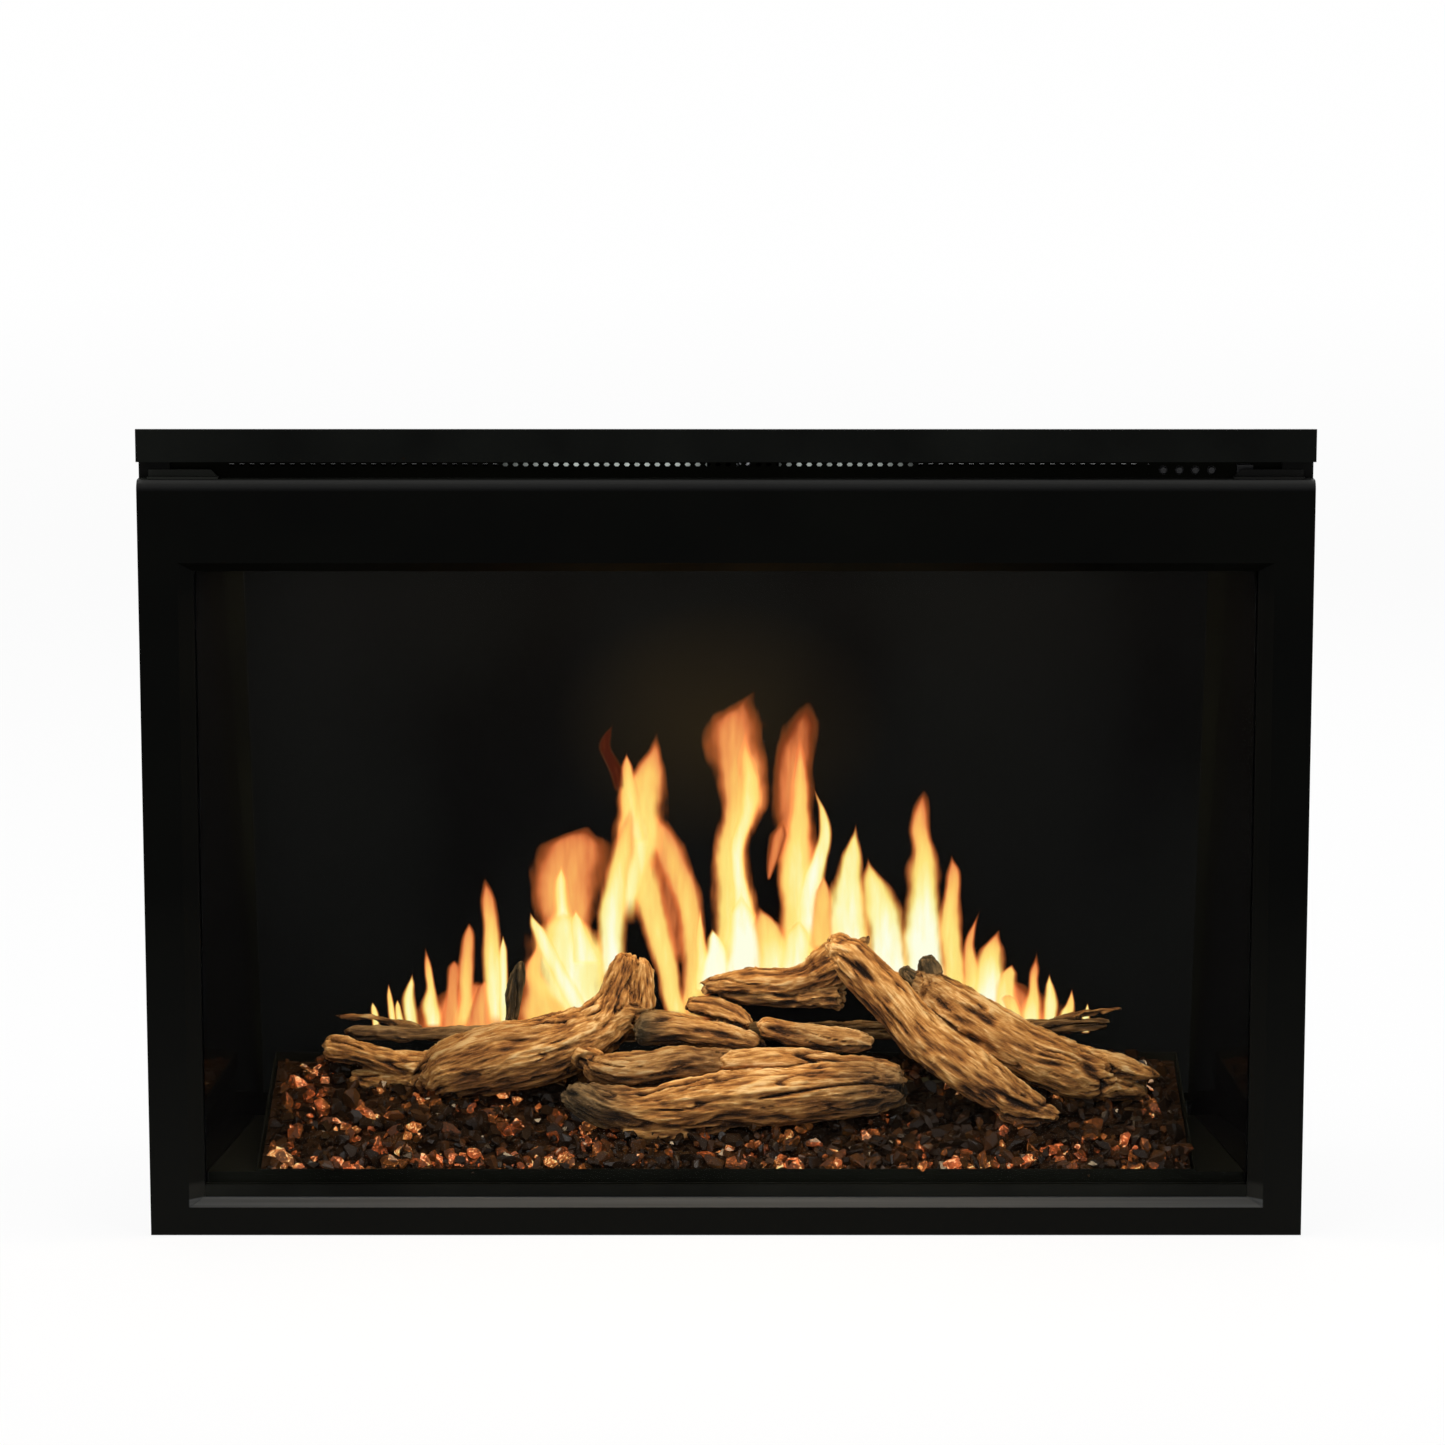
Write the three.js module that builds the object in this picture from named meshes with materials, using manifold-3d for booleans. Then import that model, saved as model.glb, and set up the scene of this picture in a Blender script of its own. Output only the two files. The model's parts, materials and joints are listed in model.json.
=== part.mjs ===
// Electric fireplace insert: a steel box with a log and ember hearth in front of a flame display,
// a warm-air blower above it, and a glazed surround that pulls off the front.
// Millimetres. X to the right, Y from the front face to the back, Z up from the floor of the box.
import * as THREE from 'three';
import { mergeVertices } from 'three/addons/utils/BufferGeometryUtils.js';
import Module from 'manifold-3d';

const wasm = await Module();
wasm.setup();

// Driving dimensions of the whole insert
const width = 950;
const height = 670;
const depth = 305;
const fit = 0.3;
const overrun = 4;
const roundSides = 16;

// Steel box
const boxInset = 24;
const boxSheet = 1.2;
const boxDrop = 45;
const panFlange = 20;
const flangeReach = 19;
const plenumDepth = 128;
const coverDrop = 15;
const coverFlange = 9;

// Surround
const trimSheet = 1.5;
const trimDepth = 20;
const floorClear = 1;
const stileFace = 32;
const stileBevel = 12;
const sillFace = 23.5;
const sillBevel = 6.5;
const headerFace = 67;
const headerBevel = 8;
const bevelDepth = 10;
const lipRadius = 8;
const hookWidth = 57;
const hookInset = 8;
const hookRise = 6.5;

// Glass and its retainers
const glassThick = 4;
const glassLap = 9;
const retainerInset = 12;
const sillGrip = 10;
const headerGrip = 12;
const retainerFoot = 16;

// Top rail and the slot under it
const railFace = 26.5;
const railHem = 8;
const slotGap = 15;
const grilleSetback = 25;
const grilleLap = 16.5;
const grilleDrop = 3;
const grilleFlange = 10;
const grilleMargin = 49.5;
const holePitch = 8.2;
const holeWidth = 4.8;
const holeHeight = 3.4;
const holeDrop = 5;
const holeMargin = 12;

// Controls at the right end of the slot
const panelWidth = 107.5;
const controlRise = 5.5;
const buttonMargin = 12;
const buttonRadius = 3.2;
const buttonCollar = 1.2;
const buttonPitch = 13;
const buttonTravel = 1.2;
const buttonProud = 2;
const buttonStem = 5;
const rockerInset = 29.5;
const rockerWidth = 13;
const rockerHalf = 4.5;
const rockerDepth = 4;
const rockerPlay = 1;
const switchDepth = 18;
const boardThick = 1.6;

// Warm-air blower and heater
const blowerOffset = 15;
const blowerSetback = 80;
const blowerRise = 37;
const blowerLength = 340;
const wheelRadius = 22;
const wheelDisc = 1.5;
const wheelGap = 4;
const bladeCount = 18;
const bladeChord = 5;
const bladeThick = 0.8;
const scrollStart = 27;
const outletDrop = 22;
const shaftRadius = 3;
const hubRadius = 6;
const bearingRadius = 9;
const bearingLength = 9;
const motorSize = 40;
const motorStack = 18;
const motorBell = 13;
const bracketSize = 52;
const heaterDepth = 16;
const heaterGap = 56;
const heaterLeftShare = 0.6056;
const heaterBar = 4;
const finPitch = 6;
const finThick = 1.5;
const cutoutRadius = 6.5;

// Firebox lining
const liningTaper = 26;
const liningGap = 1;

// Flame display, which leans forward at its top
const serviceDepth = 70;
const screenThick = 3;
const screenSill = 62;
const screenClear = 7;
const screenLean = THREE.MathUtils.degToRad(12.4);
const shellMargin = 15;
const shellBorder = 6;
const shellDepth = 16;
const shellSheet = 1.5;
const bezelLap = 2;
const gussetInset = 59;
const gussetThick = 3;
const gussetRise = 130;
const gussetFoot = 52;

// Hearth: tray, ember bed and lamps
const hearthInset = 14;
const hearthFront = 27;
const hearthClear = 20;
const trayFrontTop = 50;
const trayBackTop = 104;
const floorFrontRise = 36;
const floorBackRise = 84;
const shelfTop = 48;
const bedFrontRise = 47;
const bedBackRise = 100;
const bedBumpHeight = 2.4;
const bedWaveLength = 62;
const lampWidth = 12;
const lampCount = 14;
const lampSize = 6;
const lampRise = 1.4;
const lampInset = 18;

// Logs
const pileFoot = 50;
const pileRise = 160;
const logRadius = 30;

// Rear services
const louvreWidth = 44;
const louvreHeight = 6;
const louvrePitch = 74;
const louvreCount = 10;
const louvreRise = 40;
const louvreDrop = 35;
const supplyWidth = 130;
const supplyHeight = 70;
const supplyDepth = 36;
const supplyOffset = 235;
const supplySill = 80;
const controlWidth = 150;
const controlHeight = 96;
const controlOffset = 190;
const controlSill = 80;
const standoff = 8;
const terminalWidth = 46;
const terminalDepth = 44;
const terminalHeight = 44;
const terminalWall = 2;
const glandRadius = 6;
const glandNut = 9.5;
const glandBore = 3.6;
const glandReach = 15;
const glandRise = 26;

// Shared places worked out from the sizes above
const half = width / 2;
const boxHalf = half - boxInset;
const boxTop = height - boxDrop;
const coverTop = height - coverDrop;
const plenumBack = plenumDepth;
const railBottom = height - railFace;
const trimTop = railBottom - slotGap;
const floorTop = boxSheet;
const seat = floorTop + fit;
const flangeFace = trimDepth + fit;
const headerPlate = flangeFace + boxSheet + fit;
const innerHalf = boxHalf - boxSheet - fit;
const backInside = depth - boxSheet - fit;
const glassFace = bevelDepth + trimSheet + fit;
const glassBack = glassFace + glassThick;
const sillTop = floorClear + sillFace + sillBevel;
const headerEdge = trimTop - headerFace - headerBevel;
const stileInner = half - stileFace - stileBevel;
const grilleBottom = trimTop - grilleLap;
const grilleTop = coverTop - grilleDrop;
const grilleBack = grilleSetback + boxSheet;
const holeLine = railBottom - holeDrop;
const controlLine = trimTop + controlRise;
const panelLeft = innerHalf - panelWidth;
const liningFrontHalf = stileInner;
const ceilingUnder = headerEdge + trimSheet;
const blowerHeight = ceilingUnder + blowerRise;
const screenHalf = liningFrontHalf - liningTaper - liningGap;
const screenSetback = depth - serviceDepth;
const shellTop = ceilingUnder - screenClear - shellDepth * Math.sin(screenLean);
const screenHeight = (shellTop - screenSill) / Math.cos(screenLean) - shellBorder;
const shellHalf = screenHalf + shellMargin;
const hearthHalf = screenHalf - hearthInset;
const hearthDepth = screenSetback - hearthFront - hearthClear;
const hearthBack = hearthFront + hearthDepth;
const terminalSetback = backInside - terminalDepth - standoff;
const holeRadiusClear = shaftRadius * 1.04 + fit;

// Materials
const paint = (color, roughness, metalness = 0) =>
  new THREE.MeshStandardMaterial({ color, roughness, metalness });
const looks = {
  blackSteel: paint(0x0b0b0c, 0.45, 0.3),
  innerSteel: paint(0x101113, 0.55, 0.3),
  zincSteel: paint(0x8d9194, 0.42, 0.9),
  glossLining: paint(0x050506, 0.12, 0.2),
  glass: new THREE.MeshStandardMaterial({ color: 0x1a1c1e, roughness: 0.05, opacity: 0.2, transparent: true }),
  aluminium: paint(0xb9bcc0, 0.35, 1),
  blackPlastic: paint(0x121214, 0.5),
  board: paint(0x1f5a34, 0.6),
  screen: paint(0x060607, 0.2),
  ember: paint(0x1d100c, 0.25),
  wood: paint(0x8a6238, 0.85),
  motorSteel: paint(0x6c7176, 0.45, 0.9),
};

const insert = new THREE.Group();
insert.position.set(0, -depth / 2, 0);

// A closed mesh as a solid that can be joined and cut
function solid(geometry) {
  const bare = geometry.clone();
  bare.deleteAttribute('normal');
  bare.deleteAttribute('uv');
  const merged = mergeVertices(bare);
  const place = merged.attributes.position;
  const corners = merged.index.array;
  const kept = [];
  let volume = 0;
  const a = new THREE.Vector3();
  const b = new THREE.Vector3();
  const c = new THREE.Vector3();
  for (let i = 0; i < corners.length; i += 3) {
    const [p, q, r] = [corners[i], corners[i + 1], corners[i + 2]];
    if (p === q || q === r || r === p) continue;
    kept.push([p, q, r]);
    a.fromBufferAttribute(place, p);
    b.fromBufferAttribute(place, q);
    c.fromBufferAttribute(place, r);
    volume += a.dot(b.cross(c));
  }
  const facing = volume > 0 ? kept : kept.map(([p, q, r]) => [p, r, q]);
  const triVerts = Uint32Array.from(facing.flat());
  const vertProperties = Float32Array.from(place.array);
  return new wasm.Manifold(new wasm.Mesh({ numProp: 3, vertProperties, triVerts }));
}

// A finished solid as a named mesh in a group
function part(group, name, body, material) {
  const shape = body.getMesh();
  const geometry = new THREE.BufferGeometry();
  geometry.setAttribute('position', new THREE.BufferAttribute(shape.vertProperties, 3));
  geometry.setIndex(new THREE.BufferAttribute(shape.triVerts, 1));
  geometry.computeVertexNormals();
  const mesh = new THREE.Mesh(geometry, material);
  mesh.name = name;
  group.add(mesh);
  return mesh;
}

// A box between two places on each axis
function slab([x0, x1], [y0, y1], [z0, z1]) {
  const geometry = new THREE.BoxGeometry();
  const place = geometry.attributes.position;
  for (let i = 0; i < place.count; i++) {
    const x = place.getX(i) > 0 ? x1 : x0;
    const y = place.getY(i) > 0 ? y1 : y0;
    const z = place.getZ(i) > 0 ? z1 : z0;
    place.setXYZ(i, x, y, z);
  }
  return solid(geometry);
}

// An outline carried along an axis: x takes (y, z) points, y takes (x, z), z takes (x, y)
const carried = {
  x: (u, v, w) => [w, u, v],
  y: (u, v, w) => [u, w, v],
  z: (u, v, w) => [u, v, w],
};
function prism(axis, outline, [from, to], holes = []) {
  const points = (line) => line.map(([u, v]) => new THREE.Vector2(u, v));
  const shape = new THREE.Shape(points(outline));
  shape.holes = holes.map((hole) => new THREE.Path(points(hole)));
  const geometry = new THREE.ExtrudeGeometry(shape, { depth: 1, steps: 1, bevelEnabled: false });
  const place = geometry.attributes.position;
  for (let i = 0; i < place.count; i++) {
    const w = place.getZ(i) > 0 ? to : from;
    place.setXYZ(i, ...carried[axis](place.getX(i), place.getY(i), w));
  }
  return solid(geometry);
}

// A profile of (radius, place along the axis) turned about a line
function turned(axis, profile, [x, y, z], sides) {
  const points = profile.map(([r, h]) => new THREE.Vector2(r, h));
  const geometry = new THREE.LatheGeometry(points, sides);
  const turns = { x: [1, 2, 0], y: [0, 1, 2], z: [2, 0, 1] }[axis];
  const place = geometry.attributes.position;
  for (let i = 0; i < place.count; i++) {
    const from = [place.getX(i), place.getY(i), place.getZ(i)];
    place.setXYZ(i, from[turns[0]] + x, from[turns[1]] + y, from[turns[2]] + z);
  }
  return solid(geometry);
}

// Rings of points joined one to the next and closed at both ends
function loft(rings) {
  const sides = rings[0].length;
  const places = rings.flat().flatMap((p) => [p.x, p.y, p.z]);
  const corners = [];
  for (let i = 0; i + 1 < rings.length; i++) {
    for (let j = 0; j < sides; j++) {
      const next = (j + 1) % sides;
      const [a, b] = [i * sides + j, i * sides + next];
      corners.push(a, b, b + sides, a, b + sides, a + sides);
    }
  }
  for (const [i, flip] of [[0, true], [rings.length - 1, false]]) {
    const middle = rings[i].reduce((sum, p) => sum.add(p), new THREE.Vector3()).divideScalar(sides);
    const hub = places.length / 3;
    places.push(middle.x, middle.y, middle.z);
    for (let j = 0; j < sides; j++) {
      const [a, b] = [i * sides + j, i * sides + ((j + 1) % sides)];
      corners.push(hub, ...(flip ? [b, a] : [a, b]));
    }
  }
  const geometry = new THREE.BufferGeometry();
  geometry.setAttribute('position', new THREE.Float32BufferAttribute(places, 3));
  geometry.setIndex(corners);
  return solid(geometry);
}

const joined = (first, ...others) => others.reduce((sum, body) => sum.add(body), first);
const cut = (first, ...others) => others.reduce((rest, body) => rest.subtract(body), first);
const across = (x) => [-x, x];
const circle = (u, v, radius, sides, turn = 0) =>
  Array.from({ length: sides }, (_, i) => {
    const angle = turn + (i / sides) * 2 * Math.PI;
    return [u + radius * Math.cos(angle), v + radius * Math.sin(angle)];
  });
const rectangle = ([u0, u1], [v0, v1]) => [[u0, v0], [u1, v0], [u1, v1], [u0, v1]];

// Surround: a mitred sheet frame with a bevelled inner edge and a rolled top lip
function surround() {
  const inner = [stileFace, sillFace, headerFace];
  const edge = [stileFace + stileBevel, sillFace + sillBevel, headerFace + headerBevel];
  const wall = [trimSheet, trimSheet, trimSheet];
  const section = [
    [[0, 0, 0], trimDepth], [[0, 0, 0], 0], [inner, 0], [edge, bevelDepth],
    [edge, bevelDepth + trimSheet], [inner, trimSheet], [wall, trimSheet], [wall, trimDepth],
  ];
  const corners = section.map(([[side, sill, head], y]) => [
    new THREE.Vector3(-half + side, y, floorClear + sill),
    new THREE.Vector3(half - side, y, floorClear + sill),
    new THREE.Vector3(half - side, y, trimTop - head),
    new THREE.Vector3(-half + side, y, trimTop - head),
  ]);
  const places = corners.flat().flatMap((p) => [p.x, p.y, p.z]);
  const faces = [];
  for (let i = 0; i < section.length; i++) {
    const next = (i + 1) % section.length;
    for (let j = 0; j < 4; j++) {
      const side = (j + 1) % 4;
      const [a, b, c, d] = [i * 4 + j, i * 4 + side, next * 4 + side, next * 4 + j];
      faces.push(a, b, c, a, c, d);
    }
  }
  const geometry = new THREE.BufferGeometry();
  geometry.setAttribute('position', new THREE.Float32BufferAttribute(places, 3));
  geometry.setIndex(faces);
  const lipFoot = trimTop - lipRadius;
  const roll = [];
  const steps = 6;
  for (let i = 0; i <= steps; i++) {
    const angle = (i / steps) * (Math.PI / 2);
    roll.push([lipRadius - lipRadius * Math.cos(angle), lipFoot + lipRadius * Math.sin(angle)]);
  }
  const bore = lipRadius - trimSheet;
  const inside = [];
  for (let i = steps; i >= 0; i--) {
    const angle = (i / steps) * (Math.PI / 2);
    inside.push([lipRadius - bore * Math.cos(angle), lipFoot + bore * Math.sin(angle)]);
  }
  const lip = [
    [0, lipFoot - overrun], ...roll, [lipRadius + overrun, trimTop],
    [lipRadius + overrun, trimTop - trimSheet], ...inside, [trimSheet, lipFoot - overrun],
  ];
  const corner = slab(across(half + overrun), [-overrun, lipRadius], [lipFoot, trimTop + overrun]);
  return joined(cut(solid(geometry), corner), prism('x', lip, across(half)));
}

function trimHook(side) {
  const outer = half - hookInset;
  const foot = trimTop + fit;
  const outline = [
    [outer - hookWidth, foot], [outer, foot], [outer, foot + hookRise],
    [outer - hookWidth + hookRise, foot + hookRise],
  ].map(([x, z]) => [side * x, z]);
  const upstand = prism('y', outline, [trimDepth - trimSheet, trimDepth]);
  const span = [side * (outer - hookWidth), side * outer].sort((a, b) => a - b);
  return joined(upstand, slab(span, [lipRadius, trimDepth], [foot, foot + trimSheet]));
}

// Channel that holds the glass at the sill, with a foot on the back of the sill face
function sillRetainer() {
  const low = sillTop + fit;
  const front = bevelDepth;
  const back = glassBack + fit;
  const footTop = floorClear + trimSheet + retainerFoot / 2;
  const outline = [
    [front, low], [front, low + sillGrip], [front + trimSheet, low + sillGrip],
    [front + trimSheet, low + trimSheet], [back, low + trimSheet], [back, low + sillGrip],
    [back + trimSheet, low + sillGrip], [back + trimSheet, footTop - trimSheet],
    [trimSheet + fit, footTop - trimSheet], [trimSheet + fit, footTop], [back, footTop], [back, low],
  ];
  return prism('x', outline, across(stileInner - fit));
}

// Stepped strip that holds the glass at the header
function headerRetainer() {
  const glassTop = headerEdge + headerBevel + headerGrip + retainerFoot;
  const web = glassTop + fit;
  const back = glassBack + fit;
  const outline = [
    [trimSheet + fit, web], [trimSheet + fit, web + retainerFoot],
    [trimSheet * 2 + fit, web + retainerFoot], [trimSheet * 2 + fit, web + trimSheet],
    [back + trimSheet, web + trimSheet], [back + trimSheet, web - headerGrip],
    [back, web - headerGrip], [back, web],
  ];
  return prism('x', outline, across(half - trimSheet - retainerInset));
}

const frontGroup = new THREE.Group();
const glassHalf = stileInner + glassLap;
const glassSill = sillTop + fit + trimSheet + fit;
const glassTop = headerEdge + headerBevel + headerGrip + retainerFoot;
part(frontGroup, 'front_trim', surround(), looks.blackSteel);
part(frontGroup, 'trim_hook_left', trimHook(-1), looks.blackSteel);
part(frontGroup, 'trim_hook_right', trimHook(1), looks.blackSteel);
part(frontGroup, 'glass_retainer_bottom', sillRetainer(), looks.blackSteel);
part(frontGroup, 'glass_retainer_top', headerRetainer(), looks.blackSteel);
const pane = slab(across(glassHalf), [glassFace, glassBack], [glassSill, glassTop]);
part(frontGroup, 'front_glass', pane, looks.glass);
insert.add(frontGroup);

// Steel box
const boxGroup = new THREE.Group();
insert.add(boxGroup);

function basePan() {
  const pan = slab(across(boxHalf), [flangeFace + boxSheet, depth], [0, floorTop]);
  const face = [headerPlate, headerPlate + boxSheet];
  const upstand = slab(across(innerHalf), face, [0, panFlange]);
  return joined(pan, upstand);
}

function sidePanel(side) {
  const rise = coverTop - boxSheet - fit;
  const outline = [
    [flangeFace, seat], [backInside, seat], [backInside, boxTop], [plenumBack, boxTop],
    [plenumBack, rise], [grilleSetback, rise], [grilleSetback, trimTop], [flangeFace, trimTop],
  ];
  const span = (a, b) => [side * a, side * b].sort((p, q) => p - q);
  const web = prism('x', outline, span(boxHalf - boxSheet, boxHalf));
  const reach = span(boxHalf - boxSheet, boxHalf + flangeReach);
  const flange = slab(reach, [flangeFace, flangeFace + boxSheet], [seat, trimTop]);
  const slotReach = span(boxHalf - boxSheet, half);
  const slotEnd = slab(slotReach, [flangeFace, flangeFace + boxSheet], [trimTop - fit, railBottom - fit]);
  const panel = joined(web, flange, slotEnd);
  return side < 0 ? panel : cut(panel, glandHole(boxHalf));
}

function glandHole(x) {
  const place = [terminalSetback + terminalDepth / 2, seat + glandRise];
  return prism('x', circle(...place, glandRadius + fit * 2, roundSides), [x - overrun, x + overrun]);
}

function rearPanel() {
  const slots = [];
  for (const z of [louvreRise, boxTop - louvreDrop]) {
    for (let i = 0; i < louvreCount; i++) {
      const x = (i - (louvreCount - 1) / 2) * louvrePitch;
      const [w, h] = [louvreWidth / 2, louvreHeight / 2];
      slots.push([[x - w, z], [x - w + h, z - h], [x + w - h, z - h], [x + w, z], [x + w - h, z + h], [x - w + h, z + h]]);
    }
  }
  const plate = prism('y', rectangle(across(boxHalf), [seat, boxTop]), [depth - boxSheet, depth], slots);
  const lip = [depth - boxSheet - panFlange, depth - boxSheet / 2];
  const flange = slab(across(innerHalf), lip, [boxTop - boxSheet, boxTop]);
  return joined(plate, flange);
}

function plenumCover() {
  const front = trimSheet + fit;
  const back = plenumBack + fit;
  const foot = boxTop + fit + boxSheet + fit;
  const under = coverTop - boxSheet;
  const outline = [
    [front, coverTop - coverFlange], [front, coverTop], [back + boxSheet, coverTop],
    [back + boxSheet, foot], [back, foot], [back, under], [front + boxSheet, under],
    [front + boxSheet, coverTop - coverFlange],
  ];
  return prism('x', outline, across(boxHalf));
}

function topRail() {
  const reach = grilleSetback - fit;
  const outline = [
    [0, railBottom], [0, height], [trimSheet * 2, height], [trimSheet * 2, height - railHem],
    [trimSheet, height - railHem], [trimSheet, railBottom + trimSheet], [reach, railBottom + trimSheet],
    [reach, railBottom],
  ];
  return prism('x', outline, across(half));
}

part(boxGroup, 'base_pan', basePan(), looks.zincSteel);
part(boxGroup, 'side_panel_left', sidePanel(-1), looks.zincSteel);
part(boxGroup, 'side_panel_right', sidePanel(1), looks.zincSteel);
part(boxGroup, 'rear_panel', rearPanel(), looks.zincSteel);
const lid = slab(across(boxHalf), [plenumBack + fit, depth], [boxTop + fit, boxTop + fit + boxSheet]);
part(boxGroup, 'top_panel', lid, looks.zincSteel);
part(boxGroup, 'plenum_cover', plenumCover(), looks.zincSteel);
part(boxGroup, 'top_rail', topRail(), looks.blackSteel);
const headerRange = [ceilingUnder - boxSheet, grilleBottom - fit];
const headerBoard = slab(across(innerHalf), [headerPlate, headerPlate + boxSheet], headerRange);
part(boxGroup, 'header_panel', headerBoard, looks.innerSteel);

// Outlet grille: one line of punched holes in a flanged strip
function outletGrille() {
  const holes = [];
  for (let x = grilleMargin - innerHalf; x <= panelLeft - holeMargin; x += holePitch) {
    const [w, h] = [holeWidth / 2, holeHeight / 2];
    holes.push(circle(0, 0, 1, 6).map(([u, v]) => [x + u * w, holeLine + v * h]));
  }
  const face = rectangle([-innerHalf, panelLeft - fit], [grilleBottom, grilleTop]);
  const plate = prism('y', face, [grilleSetback, grilleBack], holes);
  const fold = slab([-innerHalf, panelLeft - fit], [grilleSetback, grilleSetback + grilleFlange],
    [grilleBottom, grilleBottom + boxSheet]);
  return joined(plate, fold);
}
part(boxGroup, 'outlet_grille', outletGrille(), looks.innerSteel);

// Controls: four sprung buttons and a rocker in a plate that carries on the grille's line
const buttonPlaces = [0, 1, 2, 3].map((i) => panelLeft + buttonMargin + i * buttonPitch);
const rockerEnd = innerHalf - rockerInset + rockerWidth / 2;
const rockerSpan = [rockerEnd - rockerWidth, rockerEnd];
const rockerPivot = grilleSetback + rockerDepth / 2;
const widened = ([a, b], play) => [a - play, b + play];
const rockerWindow = rockerHalf + rockerPlay;

function controlPanel() {
  const holes = buttonPlaces.map((x) => circle(x, controlLine, buttonRadius + fit * 2, 12));
  holes.push(rectangle(widened(rockerSpan, fit), [controlLine - rockerWindow, controlLine + rockerWindow]));
  const face = rectangle([panelLeft, innerHalf], [grilleBottom, grilleTop]);
  return prism('y', face, [grilleSetback, grilleBack], holes);
}
part(boxGroup, 'control_panel', controlPanel(), looks.innerSteel);

const collarFace = grilleBack + fit;
const stemEnd = collarFace + buttonCollar + buttonStem;
buttonPlaces.forEach((x, i) => {
  const front = grilleSetback - buttonProud;
  const crown = buttonRadius / 4;
  const profile = [
    [0, front], [buttonRadius - crown, front], [buttonRadius, front + crown], [buttonRadius, collarFace],
    [buttonRadius + buttonCollar, collarFace], [buttonRadius + buttonCollar, collarFace + buttonCollar],
    [buttonRadius / 2, collarFace + buttonCollar], [buttonRadius / 2, stemEnd], [0, stemEnd],
  ];
  part(boxGroup, `push_button_${i + 1}`, turned('y', profile, [x, 0, controlLine], 12), looks.blackPlastic);
});

function buttonBoard() {
  const switchFace = stemEnd + buttonTravel + fit;
  const boardFace = switchFace + buttonRadius;
  const ends = [buttonPlaces[0] - buttonPitch / 2, buttonPlaces[3] + buttonPitch / 2];
  const rows = [controlLine - buttonPitch, controlLine + buttonPitch];
  const plate = slab(ends, [boardFace, boardFace + boardThick], rows);
  const switches = buttonPlaces.map((x) =>
    slab([x - buttonRadius, x + buttonRadius], [switchFace, boardFace + boardThick / 2],
      [controlLine - buttonRadius, controlLine + buttonRadius]));
  const posts = ends.map((x, i) => {
    const inner = x + (i ? -1 : 1) * boardThick;
    const span = [Math.min(x, inner), Math.max(x, inner)];
    return slab(span, [grilleBack + fit, boardFace + boardThick / 2], [rows[0], rows[0] + boardThick]);
  });
  return joined(plate, ...switches, ...posts);
}
part(boxGroup, 'button_board', buttonBoard(), looks.board);

function rocker() {
  const [d, h] = [rockerDepth, rockerHalf];
  const dishShare = 0.75;
  const outline = [
    [-d, -h], [-d * dishShare, 0], [-d, h], [0, h], [d * dishShare, h / 2], [d, 0],
    [d * dishShare, -h / 2], [0, -h],
  ].map(([y, z]) => [rockerPivot + y, controlLine + z]);
  return prism('x', outline, rockerSpan);
}
part(boxGroup, 'power_rocker', rocker(), looks.blackPlastic);

function switchBody() {
  const room = [controlLine - rockerWindow, controlLine + rockerWindow];
  const face = grilleBack + fit;
  const shell = slab(widened(rockerSpan, fit + boxSheet), [face, face + switchDepth], widened(room, boxSheet));
  const well = slab(widened(rockerSpan, fit), [face - overrun, rockerPivot + rockerDepth + rockerPlay], room);
  return cut(shell, well);
}
part(boxGroup, 'switch_body', switchBody(), looks.blackPlastic);

// Heater: two finned elements in a short duct behind the grille
const ductHalf = blowerLength / 2 + heaterBar * 2;
const ductSpan = [-blowerOffset - ductHalf, -blowerOffset + ductHalf];
const heaterRun = blowerLength - heaterGap;
const heaterEnds = [ductSpan[0] + heaterBar * 2, ductSpan[1] - heaterBar * 2];
const heaterLeft = [heaterEnds[0], heaterEnds[0] + heaterRun * heaterLeftShare];
const heaterRight = [heaterLeft[1] + heaterGap, heaterEnds[1]];
const ductTop = grilleTop - fit;
const ductBottom = ductTop - outletDrop;
const ductBack = grilleBack + fit + heaterDepth;

function heaterDuct() {
  const outer = rectangle(ductSpan, [ductBottom, ductTop]);
  const inner = rectangle(widened(ductSpan, -boxSheet), widened([ductBottom, ductTop], -boxSheet));
  return prism('y', outer, [grilleBack + fit, ductBack], [inner]);
}
part(boxGroup, 'heater_duct', heaterDuct(), looks.zincSteel);

function heaterElement([from, to]) {
  const front = grilleBack + fit + finThick;
  const barFace = ductBack - heaterBar * 2;
  const edge = [];
  for (let x = from; x + finPitch <= to; x += finPitch) {
    edge.push([x, front], [x + finThick, front], [x + finThick, barFace], [x + finPitch, barFace]);
  }
  const last = edge[edge.length - 1][0];
  edge.push([last, front], [last + finThick, front]);
  const outline = [...edge, [last + finThick, barFace + heaterBar], [from, barFace + heaterBar]];
  return prism('z', outline, widened([ductBottom, ductTop], -boxSheet - fit));
}
part(boxGroup, 'heater_element_left', heaterElement(heaterLeft), looks.aluminium);
part(boxGroup, 'heater_element_right', heaterElement(heaterRight), looks.aluminium);

function thermalCutout() {
  const x = (heaterLeft[1] + heaterRight[0]) / 2;
  const plateFace = ductBack - heaterBar * 2;
  const rows = widened([ductBottom, ductTop], -boxSheet - fit);
  const strap = slab([x - cutoutRadius, x + cutoutRadius], [plateFace, plateFace + boxSheet], rows);
  const z = (rows[0] + rows[1]) / 2;
  const profile = [
    [0, plateFace - heaterBar], [cutoutRadius * 0.7, plateFace - heaterBar],
    [cutoutRadius, plateFace - heaterBar / 2], [cutoutRadius, plateFace + boxSheet / 2],
    [0, plateFace + boxSheet / 2],
  ];
  return joined(strap, turned('y', profile, [x, 0, z], 12));
}
part(boxGroup, 'thermal_cutout', thermalCutout(), looks.aluminium);

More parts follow.
